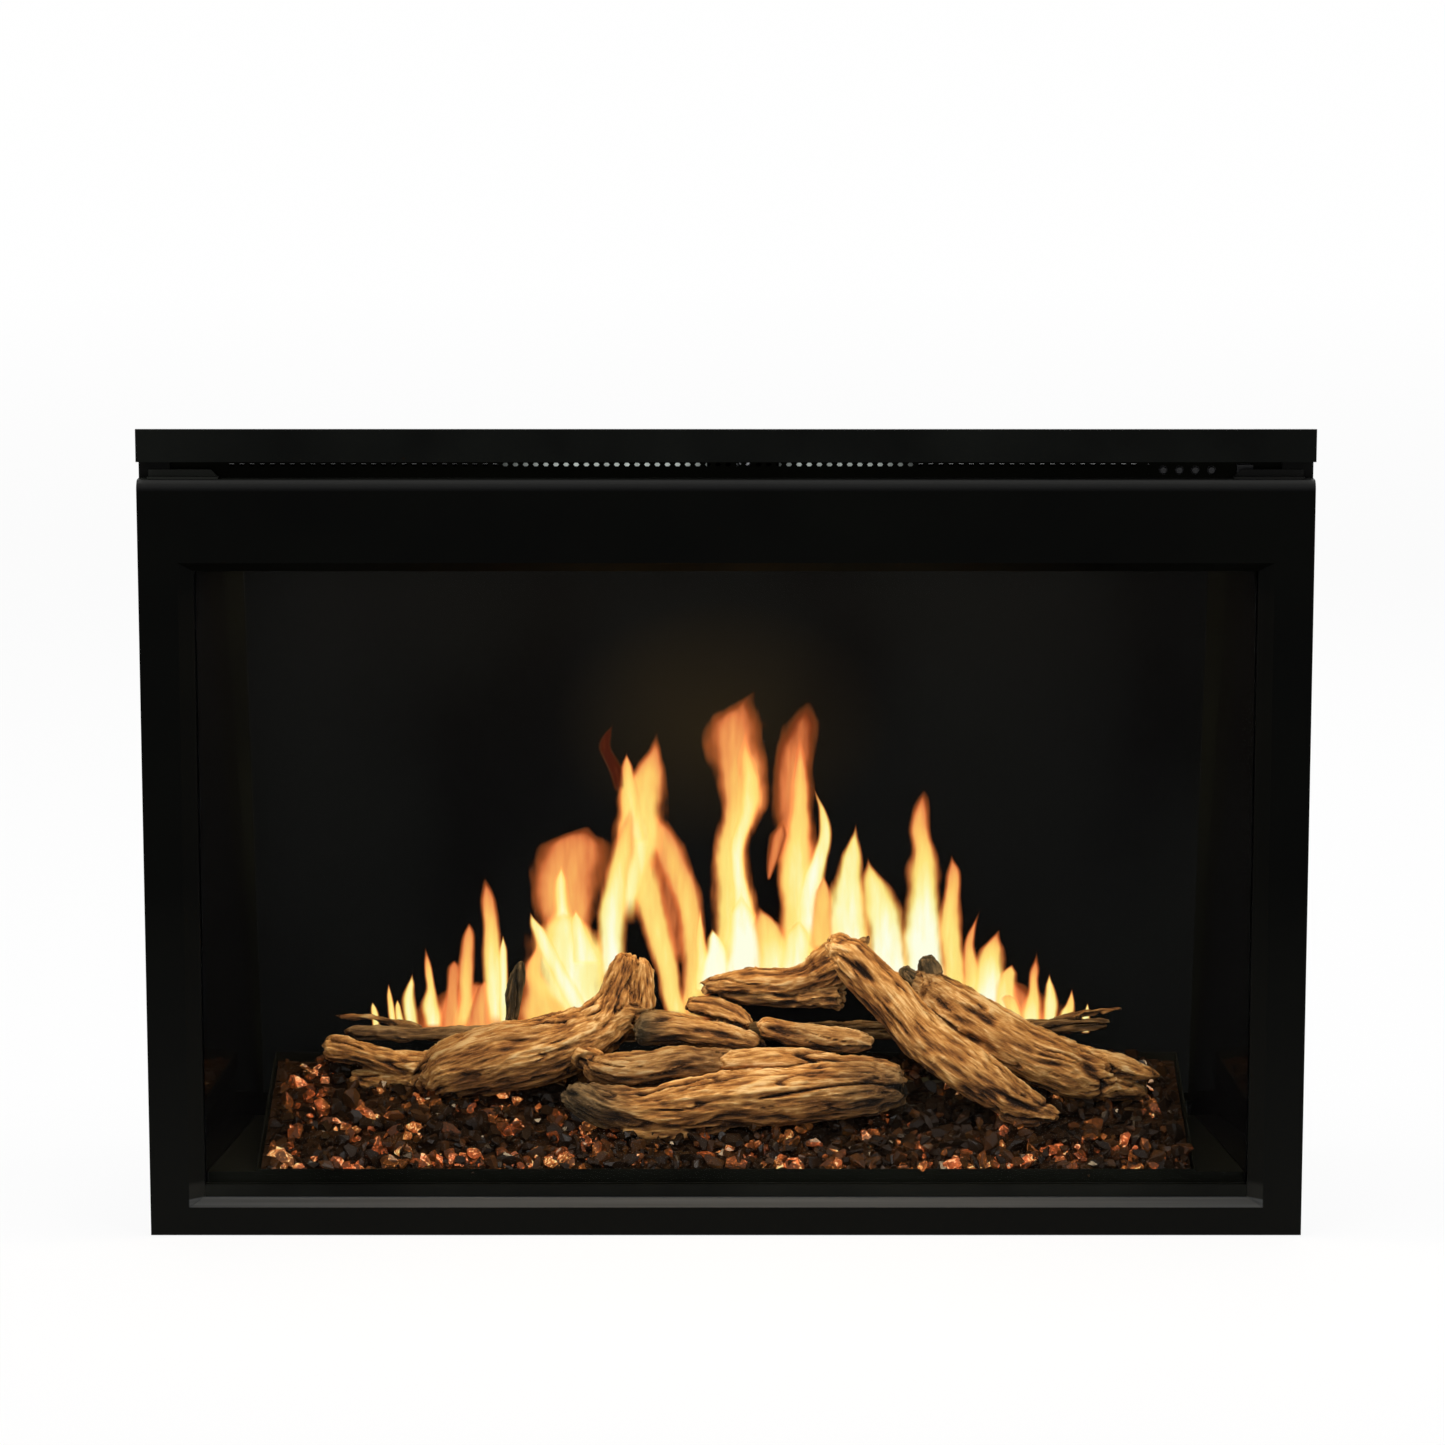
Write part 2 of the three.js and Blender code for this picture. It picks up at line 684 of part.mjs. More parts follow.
// Cross-flow blower: scroll, bladed wheel on its shaft, bearing and motor
const blower = new THREE.Group();
blower.position.set(-blowerOffset, blowerSetback, blowerHeight);
insert.add(blower);
const endFace = blowerLength / 2;
const mouth = ductBack + fit - blowerSetback;
const mouthTop = ductTop - blowerHeight;
const mouthBottom = ductBottom - blowerHeight;

function scrollPoint(share, inset) {
  const angle = THREE.MathUtils.degToRad(-75 + 165 * share);
  const radius = scrollStart + (mouthTop - scrollStart) * share - inset;
  return [radius * Math.cos(angle), radius * Math.sin(angle)];
}

function blowerHousing() {
  const steps = 12;
  const shares = Array.from({ length: steps + 1 }, (_, i) => i / steps);
  const outer = shares.map((share) => scrollPoint(share, 0));
  const inner = shares.map((share) => scrollPoint(share, boxSheet)).reverse();
  const scroll = [...outer, [mouth, mouthTop], [mouth, mouthTop - boxSheet], ...inner];
  const span = across(endFace + boxSheet / 2);
  const tongueTip = [-wheelRadius * 0.62, wheelRadius * 0.93];
  const tongue = [
    [mouth, mouthBottom], [mouth, mouthBottom + boxSheet], [-wheelRadius, mouthBottom + boxSheet],
    [tongueTip[0] + boxSheet, tongueTip[1]], [tongueTip[0], tongueTip[1]],
    [-wheelRadius - boxSheet / 2, mouthBottom],
  ];
  const foot = ceilingUnder + boxSheet + fit - blowerHeight;
  const cheek = [
    [-wheelRadius, foot], [scrollStart, foot], ...outer.filter(([y], i) => i > 2),
    [mouth, mouthTop], [mouth, mouthBottom], [-wheelRadius, mouthBottom],
  ];
  const hole = circle(0, 0, holeRadiusClear + fit, 12);
  const cheeks = [[-endFace - boxSheet, -endFace], [endFace, endFace + boxSheet]].map((ends) =>
    prism('x', cheek, ends, [hole]));
  return joined(cheeks[0], cheeks[1], prism('x', scroll, span), prism('x', tongue, span));
}
part(blower, 'blower_housing', blowerHousing(), looks.zincSteel);

function blowerWheel() {
  const reach = endFace - wheelGap;
  const bore = holeRadiusClear;
  const disc = (x, hub) => turned('x', [
    [bore, x], [wheelRadius, x], [wheelRadius, x + wheelDisc], [hubRadius, x + wheelDisc],
    [hubRadius, x + hub], [bore, x + hub], [bore, x],
  ], [0, 0, 0], bladeCount);
  const discs = [disc(-reach, wheelDisc * 4), disc(-wheelDisc / 2, wheelDisc * 2)];
  const last = reach - wheelDisc;
  discs.push(turned('x', [
    [bore, last - wheelDisc * 3], [hubRadius, last - wheelDisc * 3], [hubRadius, last], [wheelRadius, last],
    [wheelRadius, reach], [bore, reach], [bore, last - wheelDisc * 3],
  ], [0, 0, 0], bladeCount));
  const blades = [];
  for (let i = 0; i < bladeCount; i++) {
    const turn = (i / bladeCount) * 2 * Math.PI;
    const rim = wheelRadius - bladeThick;
    const root = rim - bladeChord;
    const bowShare = 0.16;
    const line = [[root, 0], [(root + rim) / 2, bladeChord * bowShare], [rim, bladeChord * bowShare * 3]];
    const outline = [...line, ...line.map(([r, t]) => [r, t + bladeThick]).reverse()];
    const spun = outline.map(([r, t]) => [
      r * Math.cos(turn) - t * Math.sin(turn), r * Math.sin(turn) + t * Math.cos(turn)]);
    blades.push(prism('x', spun, across(reach - wheelDisc / 2)));
  }
  return joined(discs[0], discs[1], discs[2], ...blades);
}
part(blower, 'blower_wheel', blowerWheel(), looks.aluminium);

const shaftEnds = [-endFace - boxSheet - bearingLength, endFace + boxSheet + motorStack + motorBell];
const shaftTip = shaftRadius / 3;
const shaft = [
  [0, shaftEnds[0]], [shaftRadius - shaftTip, shaftEnds[0]], [shaftRadius, shaftEnds[0] + shaftTip],
  [shaftRadius, shaftEnds[1] - shaftTip], [shaftRadius - shaftTip, shaftEnds[1]], [0, shaftEnds[1]],
];
part(blower, 'blower_shaft', turned('x', shaft, [0, 0, 0], 12), looks.motorSteel);

const bearingFace = -endFace - boxSheet - fit;
const bearing = [
  [holeRadiusClear, bearingFace], [holeRadiusClear, bearingFace - bearingLength],
  [bearingRadius * 0.7, bearingFace - bearingLength], [bearingRadius * 0.7, bearingFace - bearingLength / 2],
  [bearingRadius, bearingFace - bearingLength / 3], [bearingRadius, bearingFace],
  [holeRadiusClear, bearingFace],
];
part(blower, 'blower_bearing', turned('x', bearing, [0, 0, 0], 12), looks.motorSteel);

const bracketFace = endFace + boxSheet + fit;
const bracketFoot = ceilingUnder + boxSheet + fit - blowerHeight;
const motorFace = bracketFace + trimSheet + fit;

function motorBracket() {
  const [b, chamfer] = [bracketSize / 2, bracketSize / 6];
  const outline = [
    [-b, bracketFoot], [b, bracketFoot], [b, motorSize / 2 - chamfer], [b - chamfer, motorSize / 2],
    [chamfer - b, motorSize / 2], [-b, motorSize / 2 - chamfer],
  ];
  const hole = circle(0, 0, holeRadiusClear + fit, 12);
  const plate = prism('x', outline, [bracketFace, bracketFace + trimSheet], [hole]);
  const reach = [bracketFace, motorFace + motorStack];
  return joined(plate, slab(reach, across(b), [bracketFoot, bracketFoot + trimSheet]));
}
part(blower, 'motor_bracket', motorBracket(), looks.zincSteel);

function motor() {
  const [m, chamfer] = [motorSize / 2, motorSize / 8];
  const stack = [
    [-m + chamfer, -m], [m - chamfer, -m], [m, -m + chamfer], [m, m - chamfer], [m - chamfer, m],
    [-m + chamfer, m], [-m, m - chamfer], [-m, -m + chamfer],
  ];
  const end = motorFace + motorStack;
  const bell = [
    [0, end - motorStack / 2], [m * 0.8, end - motorStack / 2], [m * 0.8, end + motorBell * 0.6],
    [m * 0.5, end + motorBell], [0, end + motorBell],
  ];
  const bore = prism('x', circle(0, 0, holeRadiusClear, 12), [motorFace - overrun, end + motorBell + overrun]);
  const body = joined(prism('x', stack, [motorFace, end]), turned('x', bell, [0, 0, 0], roundSides));
  return cut(body, bore);
}
part(blower, 'blower_motor', motor(), looks.motorSteel);

// Firebox lining, cut off along the leaning face of the display
const firebox = new THREE.Group();
insert.add(firebox);
const liningBack = screenSetback - fit;
const liningAt = (y) => liningFrontHalf - (liningTaper * (y - headerPlate)) / (liningBack - headerPlate);
const lean = Math.tan(screenLean);
const displayFace = (z) => screenSetback - (z - screenSill) * lean;
const bezelFace = boxSheet + trimSheet;

function sideLining(side) {
  const front = headerPlate + boxSheet + fit;
  const reach = displayFace(0);
  const outline = [
    [liningAt(front), front], [liningAt(reach), reach], [liningAt(reach) + boxSheet, reach],
    [liningAt(front) + boxSheet, front],
  ].map(([x, y]) => [side * x, y]);
  const plate = prism('z', outline, [seat, ceilingUnder - fit]);
  const [low, high] = [-overrun, ceilingUnder + overrun];
  const behind = [
    [displayFace(low) - bezelFace, low], [depth + overrun, low], [depth + overrun, high],
    [displayFace(high) - bezelFace, high],
  ];
  return cut(plate, prism('x', behind, across(half)));
}
part(firebox, 'liner_left', sideLining(-1), looks.glossLining);
part(firebox, 'liner_right', sideLining(1), looks.glossLining);
const ceilingFront = headerPlate + boxSheet + fit;
const ceiling = slab(across(innerHalf), [ceilingFront, backInside], [ceilingUnder, ceilingUnder + boxSheet]);
part(firebox, 'liner_ceiling', ceiling, looks.innerSteel);

// Flame display
const display = new THREE.Group();
display.position.set(0, screenSetback, screenSill);
display.rotation.x = screenLean;
insert.add(display);
part(display, 'display_panel', slab(across(screenHalf), [0, screenThick], [0, screenHeight]), looks.screen);
const shellRows = [-shellBorder, screenHeight + shellBorder];

function displayBezel() {
  const outer = rectangle(across(shellHalf), shellRows);
  const inner = rectangle(across(screenHalf - bezelLap), [bezelLap, screenHeight - bezelLap]);
  return prism('y', outer, [-fit - boxSheet, -fit], [inner]);
}
part(display, 'display_bezel', displayBezel(), looks.innerSteel);

function displayHousing() {
  const shell = slab(across(shellHalf), [0, shellDepth], shellRows);
  const room = slab(across(screenHalf + fit), [-overrun, shellDepth - shellSheet], [-fit, screenHeight + fit]);
  return cut(shell, room);
}
part(display, 'display_housing', displayHousing(), looks.innerSteel);

// Gussets that stand on the base pan and carry the display from behind
function displayGusset(side) {
  const along = (y, z) => [
    screenSetback + y * Math.cos(screenLean) - z * Math.sin(screenLean),
    screenSill + y * Math.sin(screenLean) + z * Math.cos(screenLean),
  ];
  const [under, back] = [shellRows[0] - fit, shellDepth + fit];
  const crest = along(back, gussetRise);
  const heel = screenSetback + gussetFoot;
  const outline = [
    [screenSetback, seat], [heel, seat], [heel, screenSill], [crest[0] + shellDepth, crest[1]], crest,
    along(back, under), along(screenThick, under),
  ];
  const middle = side * (shellHalf - gussetInset);
  return prism('x', outline, [middle - gussetThick / 2, middle + gussetThick / 2]);
}
part(firebox, 'display_gusset_left', displayGusset(-1), looks.zincSteel);
part(firebox, 'display_gusset_right', displayGusset(1), looks.zincSteel);

// Hearth tray: front wall, sloping floor, back wall, cheeks, and shelves out to the lining
const slope = (y, front, back) => front + ((y - hearthFront) / hearthDepth) * (back - front);
const floorAt = (y) => slope(y, floorFrontRise, floorBackRise);

function emberTray() {
  const wall = (y, top) => slab(across(hearthHalf), [y, y + boxSheet], [seat, top]);
  const floor = [
    [hearthFront, floorAt(hearthFront)], [hearthBack, floorAt(hearthBack)],
    [hearthBack, floorAt(hearthBack) + boxSheet], [hearthFront, floorAt(hearthFront) + boxSheet],
  ];
  const cheek = [
    [hearthFront, floorFrontRise], [hearthBack + boxSheet, floorBackRise],
    [hearthBack + boxSheet, trayBackTop], [hearthFront, trayFrontTop],
  ];
  const pieces = [
    wall(hearthBack, trayBackTop), prism('x', floor, across(hearthHalf)),
    prism('x', cheek, [-hearthHalf, -hearthHalf + boxSheet]),
    prism('x', cheek, [hearthHalf - boxSheet, hearthHalf]),
  ];
  for (const side of [-1, 1]) {
    const [near, far] = [hearthFront, hearthBack];
    const shelf = [
      [hearthHalf - boxSheet, near], [liningAt(near) - fit * 2, near],
      [liningAt(far) - fit * 2, far], [hearthHalf - boxSheet, far],
    ].map(([x, y]) => [side * x, y]);
    pieces.push(prism('z', shelf, [shelfTop - boxSheet, shelfTop]));
    const ends = [hearthHalf - boxSheet, liningAt(near + boxSheet) - fit * 2].map((x) => side * x);
    const apron = slab(ends.sort((a, b) => a - b), [near, near + boxSheet], [seat, shelfTop]);
    pieces.push(apron);
  }
  return joined(wall(hearthFront, trayFrontTop), ...pieces);
}
part(firebox, 'ember_tray', emberTray(), looks.innerSteel);

// Ember bed: a banked, lumpy heap that fills the tray
const bedRooms = { x: hearthHalf - boxSheet - fit, front: hearthFront + boxSheet + fit, back: hearthBack - fit };
const bumpAt = (u, v) => Math.sin(u * 5.1 + Math.sin(v * 3.7) * 1.3) * Math.cos(v * 4.3 + u);
const bedTop = (x, y) =>
  slope(y, bedFrontRise, bedBackRise) + bedBumpHeight * bumpAt(x / bedWaveLength, y / bedWaveLength);

function emberBed(lift, columns, rows) {
  const geometry = new THREE.BoxGeometry(1, 1, 1, columns, rows, 1);
  const place = geometry.attributes.position;
  for (let i = 0; i < place.count; i++) {
    const x = place.getX(i) * 2 * bedRooms.x;
    const y = bedRooms.front + (place.getY(i) + 0.5) * (bedRooms.back - bedRooms.front);
    const z = place.getZ(i) > 0 ? bedTop(x, y) + lift : floorAt(y) + boxSheet + fit;
    place.setXYZ(i, x, y, z);
  }
  return solid(geometry);
}
part(firebox, 'ember_bed', emberBed(0, 30, 9), looks.ember);

// Lamp strips: a thin bar with lamps along it, over the base pan and under the ceiling
function lampStrip(y, z, up) {
  const thick = boxSheet;
  const tall = (a, b) => [z + up * a, z + up * b].sort((p, q) => p - q);
  const lampHalf = hearthHalf - lampInset;
  const bar = slab(across(lampHalf + lampWidth), [y, y + lampWidth], tall(0, thick));
  const lamps = [];
  for (let i = 0; i < lampCount; i++) {
    const x = (i / (lampCount - 1) - 0.5) * 2 * lampHalf;
    const middle = y + lampWidth / 2;
    lamps.push(slab([x - lampSize / 2, x + lampSize / 2], [middle - lampSize / 2, middle + lampSize / 2],
      tall(thick / 2, thick + lampRise)));
  }
  return joined(bar, ...lamps);
}
part(firebox, 'ember_lamp_strip', lampStrip(hearthFront + lampWidth * 2, seat, 1), looks.board);
part(firebox, 'down_lamp_strip', lampStrip(ceilingFront + lampWidth / 2, ceilingUnder - fit, -1), looks.board);

// Logs: each row gives a place along the log as shares of the hearth's half width, its depth and
// the pile's rise, and the log's thickness there as a share of the thickest log's radius
const logShares = {
  log_left: [
    [-0.682, 0.712, 0.290, 0.50], [-0.655, 0.707, 0.300, 0.84], [-0.538, 0.665, 0.374, 0.92],
    [-0.450, 0.654, 0.426, 0.98], [-0.363, 0.665, 0.478, 1.00], [-0.275, 0.686, 0.532, 0.94],
    [-0.188, 0.707, 0.576, 0.84], [-0.140, 0.729, 0.602, 0.55],
  ],
  log_front: [
    [-0.354, 0.367, 0.303, 0.45], [-0.272, 0.367, 0.285, 0.70], [-0.186, 0.356, 0.258, 0.84],
    [-0.078, 0.356, 0.254, 0.87], [0.030, 0.378, 0.275, 0.84], [0.160, 0.388, 0.297, 0.84],
    [0.290, 0.388, 0.310, 0.76], [0.402, 0.388, 0.316, 0.60],
  ],
  log_diagonal: [
    [0.235, 0.665, 1.000, 0.38], [0.253, 0.665, 0.945, 0.64], [0.292, 0.654, 0.868, 0.74],
    [0.350, 0.612, 0.738, 0.75], [0.402, 0.569, 0.614, 0.74], [0.475, 0.505, 0.480, 0.76],
    [0.552, 0.452, 0.359, 0.75], [0.636, 0.410, 0.252, 0.64], [0.730, 0.378, 0.186, 0.34],
  ],
  log_right: [
    [0.405, 0.707, 0.860, 0.34], [0.436, 0.707, 0.818, 0.64], [0.500, 0.686, 0.696, 0.80],
    [0.587, 0.665, 0.555, 0.92], [0.685, 0.633, 0.410, 0.94], [0.794, 0.612, 0.318, 0.84],
    [0.881, 0.601, 0.280, 0.60], [0.938, 0.590, 0.284, 0.26],
  ],
  log_rear: [
    [-0.856, 0.890, 0.455, 0.26], [-0.609, 0.890, 0.455, 0.40], [-0.278, 0.890, 0.455, 0.46],
    [0.075, 0.890, 0.450, 0.46], [0.384, 0.890, 0.455, 0.43], [0.693, 0.890, 0.465, 0.37],
    [0.874, 0.890, 0.480, 0.23],
  ],
  log_front_rear: [
    [-0.340, 0.490, 0.424, 0.44], [-0.273, 0.495, 0.430, 0.56], [-0.165, 0.505, 0.432, 0.58],
    [-0.055, 0.516, 0.444, 0.46],
  ],
  log_mid_left: [
    [-0.205, 0.612, 0.585, 0.46], [-0.133, 0.612, 0.592, 0.58], [-0.057, 0.601, 0.572, 0.52],
    [0.020, 0.580, 0.546, 0.42], [0.078, 0.570, 0.536, 0.28],
  ],
  log_mid_right: [
    [0.048, 0.560, 0.556, 0.32], [0.120, 0.548, 0.550, 0.45], [0.215, 0.537, 0.546, 0.45],
    [0.305, 0.527, 0.535, 0.34],
  ],
  log_cross: [
    [-0.083, 0.720, 0.690, 0.30], [-0.031, 0.725, 0.722, 0.46], [0.031, 0.730, 0.752, 0.58],
    [0.101, 0.729, 0.783, 0.56], [0.166, 0.715, 0.824, 0.57], [0.218, 0.695, 0.880, 0.66],
    [0.272, 0.676, 0.910, 0.60],
  ],
};
const limbShares = {
  log_left: [
    [
      [-0.215, 0.690, 0.600, 0.62], [-0.209, 0.707, 0.690, 0.60], [-0.208, 0.718, 0.786, 0.58],
      [-0.206, 0.729, 0.880, 0.52], [-0.202, 0.734, 0.945, 0.44], [-0.186, 0.739, 0.985, 0.20],
    ],
    [
      [-0.884, 0.835, 0.410, 0.30], [-0.832, 0.820, 0.386, 0.50], [-0.742, 0.780, 0.358, 0.58],
      [-0.640, 0.740, 0.350, 0.58], [-0.560, 0.700, 0.370, 0.50],
    ],
  ],
};

// A log: an uneven section that swells, flattens and twists along its line
function log(shares, seed, grow, sides = 11) {
  const line = shares.map(([x, y, z]) => new THREE.Vector3(
    x * hearthHalf, hearthFront + y * hearthDepth, pileFoot + z * pileRise));
  const path = new THREE.CatmullRomCurve3(line, false, 'catmullrom', 0.5);
  const count = (shares.length - 1) * 2 + 1;
  const rings = [];
  const side = new THREE.Vector3();
  const top = new THREE.Vector3();
  for (let i = 0; i < count; i++) {
    const t = i / (count - 1);
    const place = path.getPoint(t);
    const along = path.getTangent(t);
    side.crossVectors(along, Math.abs(along.z) > 0.8 ? new THREE.Vector3(0, 1, 0) : new THREE.Vector3(0, 0, 1));
    side.normalize();
    top.crossVectors(side, along).normalize();
    const row = Math.min(t * (shares.length - 1), shares.length - 1.001);
    const [low, mix] = [Math.floor(row), row - Math.floor(row)];
    const thick = THREE.MathUtils.lerp(shares[low][3], shares[low + 1][3], mix) * logRadius;
    const ring = [];
    for (let j = 0; j < sides; j++) {
      const angle = (j / sides) * 2 * Math.PI;
      const ridge = 0.10 * Math.sin(3 * angle + seed + t * 2.6) + 0.07 * Math.sin(5 * angle - seed * 2 - t * 4.1)
        + 0.06 * Math.sin(t * 19 + seed * 3 + angle);
      const radius = thick * (0.93 + ridge) + grow;
      ring.push(place.clone().addScaledVector(side, radius * Math.cos(angle))
        .addScaledVector(top, radius * Math.sin(angle)));
    }
    rings.push(ring);
  }
  return loft(rings);
}

// Logs are laid one after the other, each cut to sit on the bed and on those laid before it
const logGroup = new THREE.Group();
insert.add(logGroup);
const bedBelow = emberBed(fit, 30, 9);
const laid = [];
Object.entries(logShares).forEach(([name, shares], i) => {
  const seed = i * 1.7 + 0.6;
  const limbs = limbShares[name] ?? [];
  const grown = (grow) => joined(log(shares, seed, grow), ...limbs.map((limb) => log(limb, seed, grow, 9)));
  const seated = cut(grown(0), bedBelow, ...laid);
  const pieces = seated.decompose().sort((a, b) => b.volume() - a.volume());
  part(logGroup, name, pieces[0], looks.wood);
  laid.push(pieces[0], grown(fit));
});

// Rear services: power supply, control board, terminal box and cable gland
const services = new THREE.Group();
insert.add(services);

function powerSupply() {
  const span = [-supplyOffset - supplyWidth / 2, -supplyOffset + supplyWidth / 2];
  const rows = [supplySill, supplySill + supplyHeight];
  const can = slab(span, [backInside - supplyDepth, backInside], rows);
  const ears = slab(widened(span, supplyHeight / 6), [backInside - boxSheet, backInside],
    widened(rows, -supplyHeight / 4));
  const vents = [];
  for (let i = 1; i < 8; i++) {
    const x = span[0] + (i * supplyWidth) / 8;
    const mouthFace = backInside - supplyDepth;
    vents.push(slab([x - boxSheet, x + boxSheet], [mouthFace - overrun, mouthFace + boxSheet],
      widened(rows, -supplyHeight / 5)));
  }
  return cut(joined(can, ears), ...vents);
}
part(services, 'power_supply', powerSupply(), looks.aluminium);

function controlBoard() {
  const span = [controlOffset - controlWidth / 2, controlOffset + controlWidth / 2];
  const rows = [controlSill, controlSill + controlHeight];
  const face = backInside - standoff - boardThick;
  const chipShares = [
    [0.20, 0.70, 0.16, 0.20, 9], [0.50, 0.70, 0.10, 0.10, 2], [0.78, 0.72, 0.14, 0.16, 12],
    [0.22, 0.25, 0.12, 0.12, 7], [0.52, 0.26, 0.20, 0.14, 3], [0.84, 0.25, 0.08, 0.22, 10],
  ];
  const chips = chipShares.map(([u, v, w, h, tall]) => {
    const [x, z] = [span[0] + u * controlWidth, rows[0] + v * controlHeight];
    const [a, b] = [(w * controlWidth) / 2, (h * controlHeight) / 2];
    return slab([x - a, x + a], [face - (tall * standoff) / 8, face + boardThick / 2], [z - b, z + b]);
  });
  const posts = [span[0] + standoff, span[1] - standoff].flatMap((x) =>
    [rows[0] + standoff, rows[1] - standoff].map((z) =>
      prism('y', circle(x, z, standoff / 3, 8), [face + boardThick / 2, backInside])));
  return joined(slab(span, [face, face + boardThick], rows), ...chips, ...posts);
}
part(services, 'control_board', controlBoard(), looks.board);

const boxSpan = [innerHalf - terminalWidth, innerHalf];
const boxRun = [terminalSetback, terminalSetback + terminalDepth];
const boxRows = [seat, seat + terminalHeight];

function terminalBox() {
  const room = slab(widened(boxSpan, -terminalWall), widened(boxRun, -terminalWall),
    [boxRows[0] + terminalWall, boxRows[1] + overrun]);
  const block = slab([boxSpan[0] + terminalWall * 3, boxSpan[0] + terminalWall * 9],
    widened(boxRun, -terminalWall * 3), [boxRows[0] + terminalWall / 2, boxRows[0] + terminalHeight / 3]);
  return cut(joined(cut(slab(boxSpan, boxRun, boxRows), room), block), glandHole(innerHalf));
}
part(services, 'terminal_box', terminalBox(), looks.blackPlastic);

function terminalCover() {
  const top = boxRows[1] + fit;
  const plate = slab(boxSpan, boxRun, [top, top + terminalWall]);
  const plug = slab(widened(boxSpan, -terminalWall - fit), widened(boxRun, -terminalWall - fit),
    [top - terminalWall * 2, top + terminalWall / 2]);
  return joined(plate, plug);
}
part(services, 'terminal_cover', terminalCover(), looks.blackPlastic);

function cableGland() {
  const inside = innerHalf - terminalWall - fit;
  const outside = boxHalf + fit;
  const end = boxHalf + glandReach;
  const profile = [
    [glandBore, inside - terminalWall], [glandNut, inside - terminalWall], [glandNut, inside],
    [glandRadius, inside], [glandRadius, outside], [glandNut, outside], [glandNut, outside + glandReach / 3],
    [glandNut * 0.8, outside + glandReach / 3], [glandNut * 0.8, end - glandReach / 5],
    [glandBore + terminalWall / 2, end], [glandBore, end], [glandBore, inside - terminalWall],
  ];
  const place = [0, terminalSetback + terminalDepth / 2, seat + glandRise];
  return turned('x', profile, place, 12);
}
part(services, 'cable_gland', cableGland(), looks.blackPlastic);

export default insert;
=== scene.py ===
import json
import math
import random

import bmesh
import bpy
import numpy as np
from mathutils import Matrix, Vector, noise


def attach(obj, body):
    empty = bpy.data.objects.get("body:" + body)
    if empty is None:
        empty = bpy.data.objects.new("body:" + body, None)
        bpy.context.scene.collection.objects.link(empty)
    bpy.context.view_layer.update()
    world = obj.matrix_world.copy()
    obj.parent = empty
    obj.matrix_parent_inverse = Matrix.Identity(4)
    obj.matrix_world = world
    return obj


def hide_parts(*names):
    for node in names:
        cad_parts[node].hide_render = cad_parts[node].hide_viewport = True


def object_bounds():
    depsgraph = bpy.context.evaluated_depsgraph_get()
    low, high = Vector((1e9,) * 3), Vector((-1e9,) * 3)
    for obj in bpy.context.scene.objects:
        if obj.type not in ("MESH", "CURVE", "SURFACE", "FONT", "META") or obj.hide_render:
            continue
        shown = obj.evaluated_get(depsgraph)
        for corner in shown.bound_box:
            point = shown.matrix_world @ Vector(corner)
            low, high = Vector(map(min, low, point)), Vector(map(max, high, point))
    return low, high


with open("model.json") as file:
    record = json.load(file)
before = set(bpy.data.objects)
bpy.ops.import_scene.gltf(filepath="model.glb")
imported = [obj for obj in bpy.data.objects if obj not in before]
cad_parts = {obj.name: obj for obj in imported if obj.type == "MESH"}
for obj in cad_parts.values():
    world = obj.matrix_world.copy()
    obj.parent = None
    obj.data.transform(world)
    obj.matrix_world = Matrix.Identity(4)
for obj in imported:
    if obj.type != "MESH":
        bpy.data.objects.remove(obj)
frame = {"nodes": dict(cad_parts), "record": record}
cad_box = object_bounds()
bpy.ops.object.select_all(action='DESELECT')
scene = bpy.context.scene
nodes = frame["nodes"]

MM = 0.001
FRONT = round(cad_box[0][1], 6)

# The display's face: the middle of its foot, its lean, and the ways up its slope and out of it
DISPLAY_FOOT = Vector((0, 0.0825, 0.062))
DISPLAY_LEAN = math.radians(12.4)
DISPLAY_UP = Vector((0, -math.sin(DISPLAY_LEAN), math.cos(DISPLAY_LEAN)))
DISPLAY_OUT = Vector((0, -math.cos(DISPLAY_LEAN), -math.sin(DISPLAY_LEAN)))

# The camera that took the photograph, and the photograph's width in pixels
PHOTO_WIDE = 1445
LENS, SENSOR = 125, 36
CAMERA_PLACE = Vector((0, FRONT - 4.012, 1.129))
CAMERA_TILT = math.radians(9.87)
SIDE_SHIFT = -3.5
FOCAL = LENS / SENSOR * PHOTO_WIDE


def sight(px, py):
    """The way from the camera through a pixel of the photograph, one metre deep along its view."""
    across = (px - PHOTO_WIDE / 2 + SIDE_SHIFT) / FOCAL
    up = (PHOTO_WIDE / 2 - py) / FOCAL
    return Matrix.Rotation(-CAMERA_TILT, 3, 'X') @ Vector((across, 1, up))


# Finishes

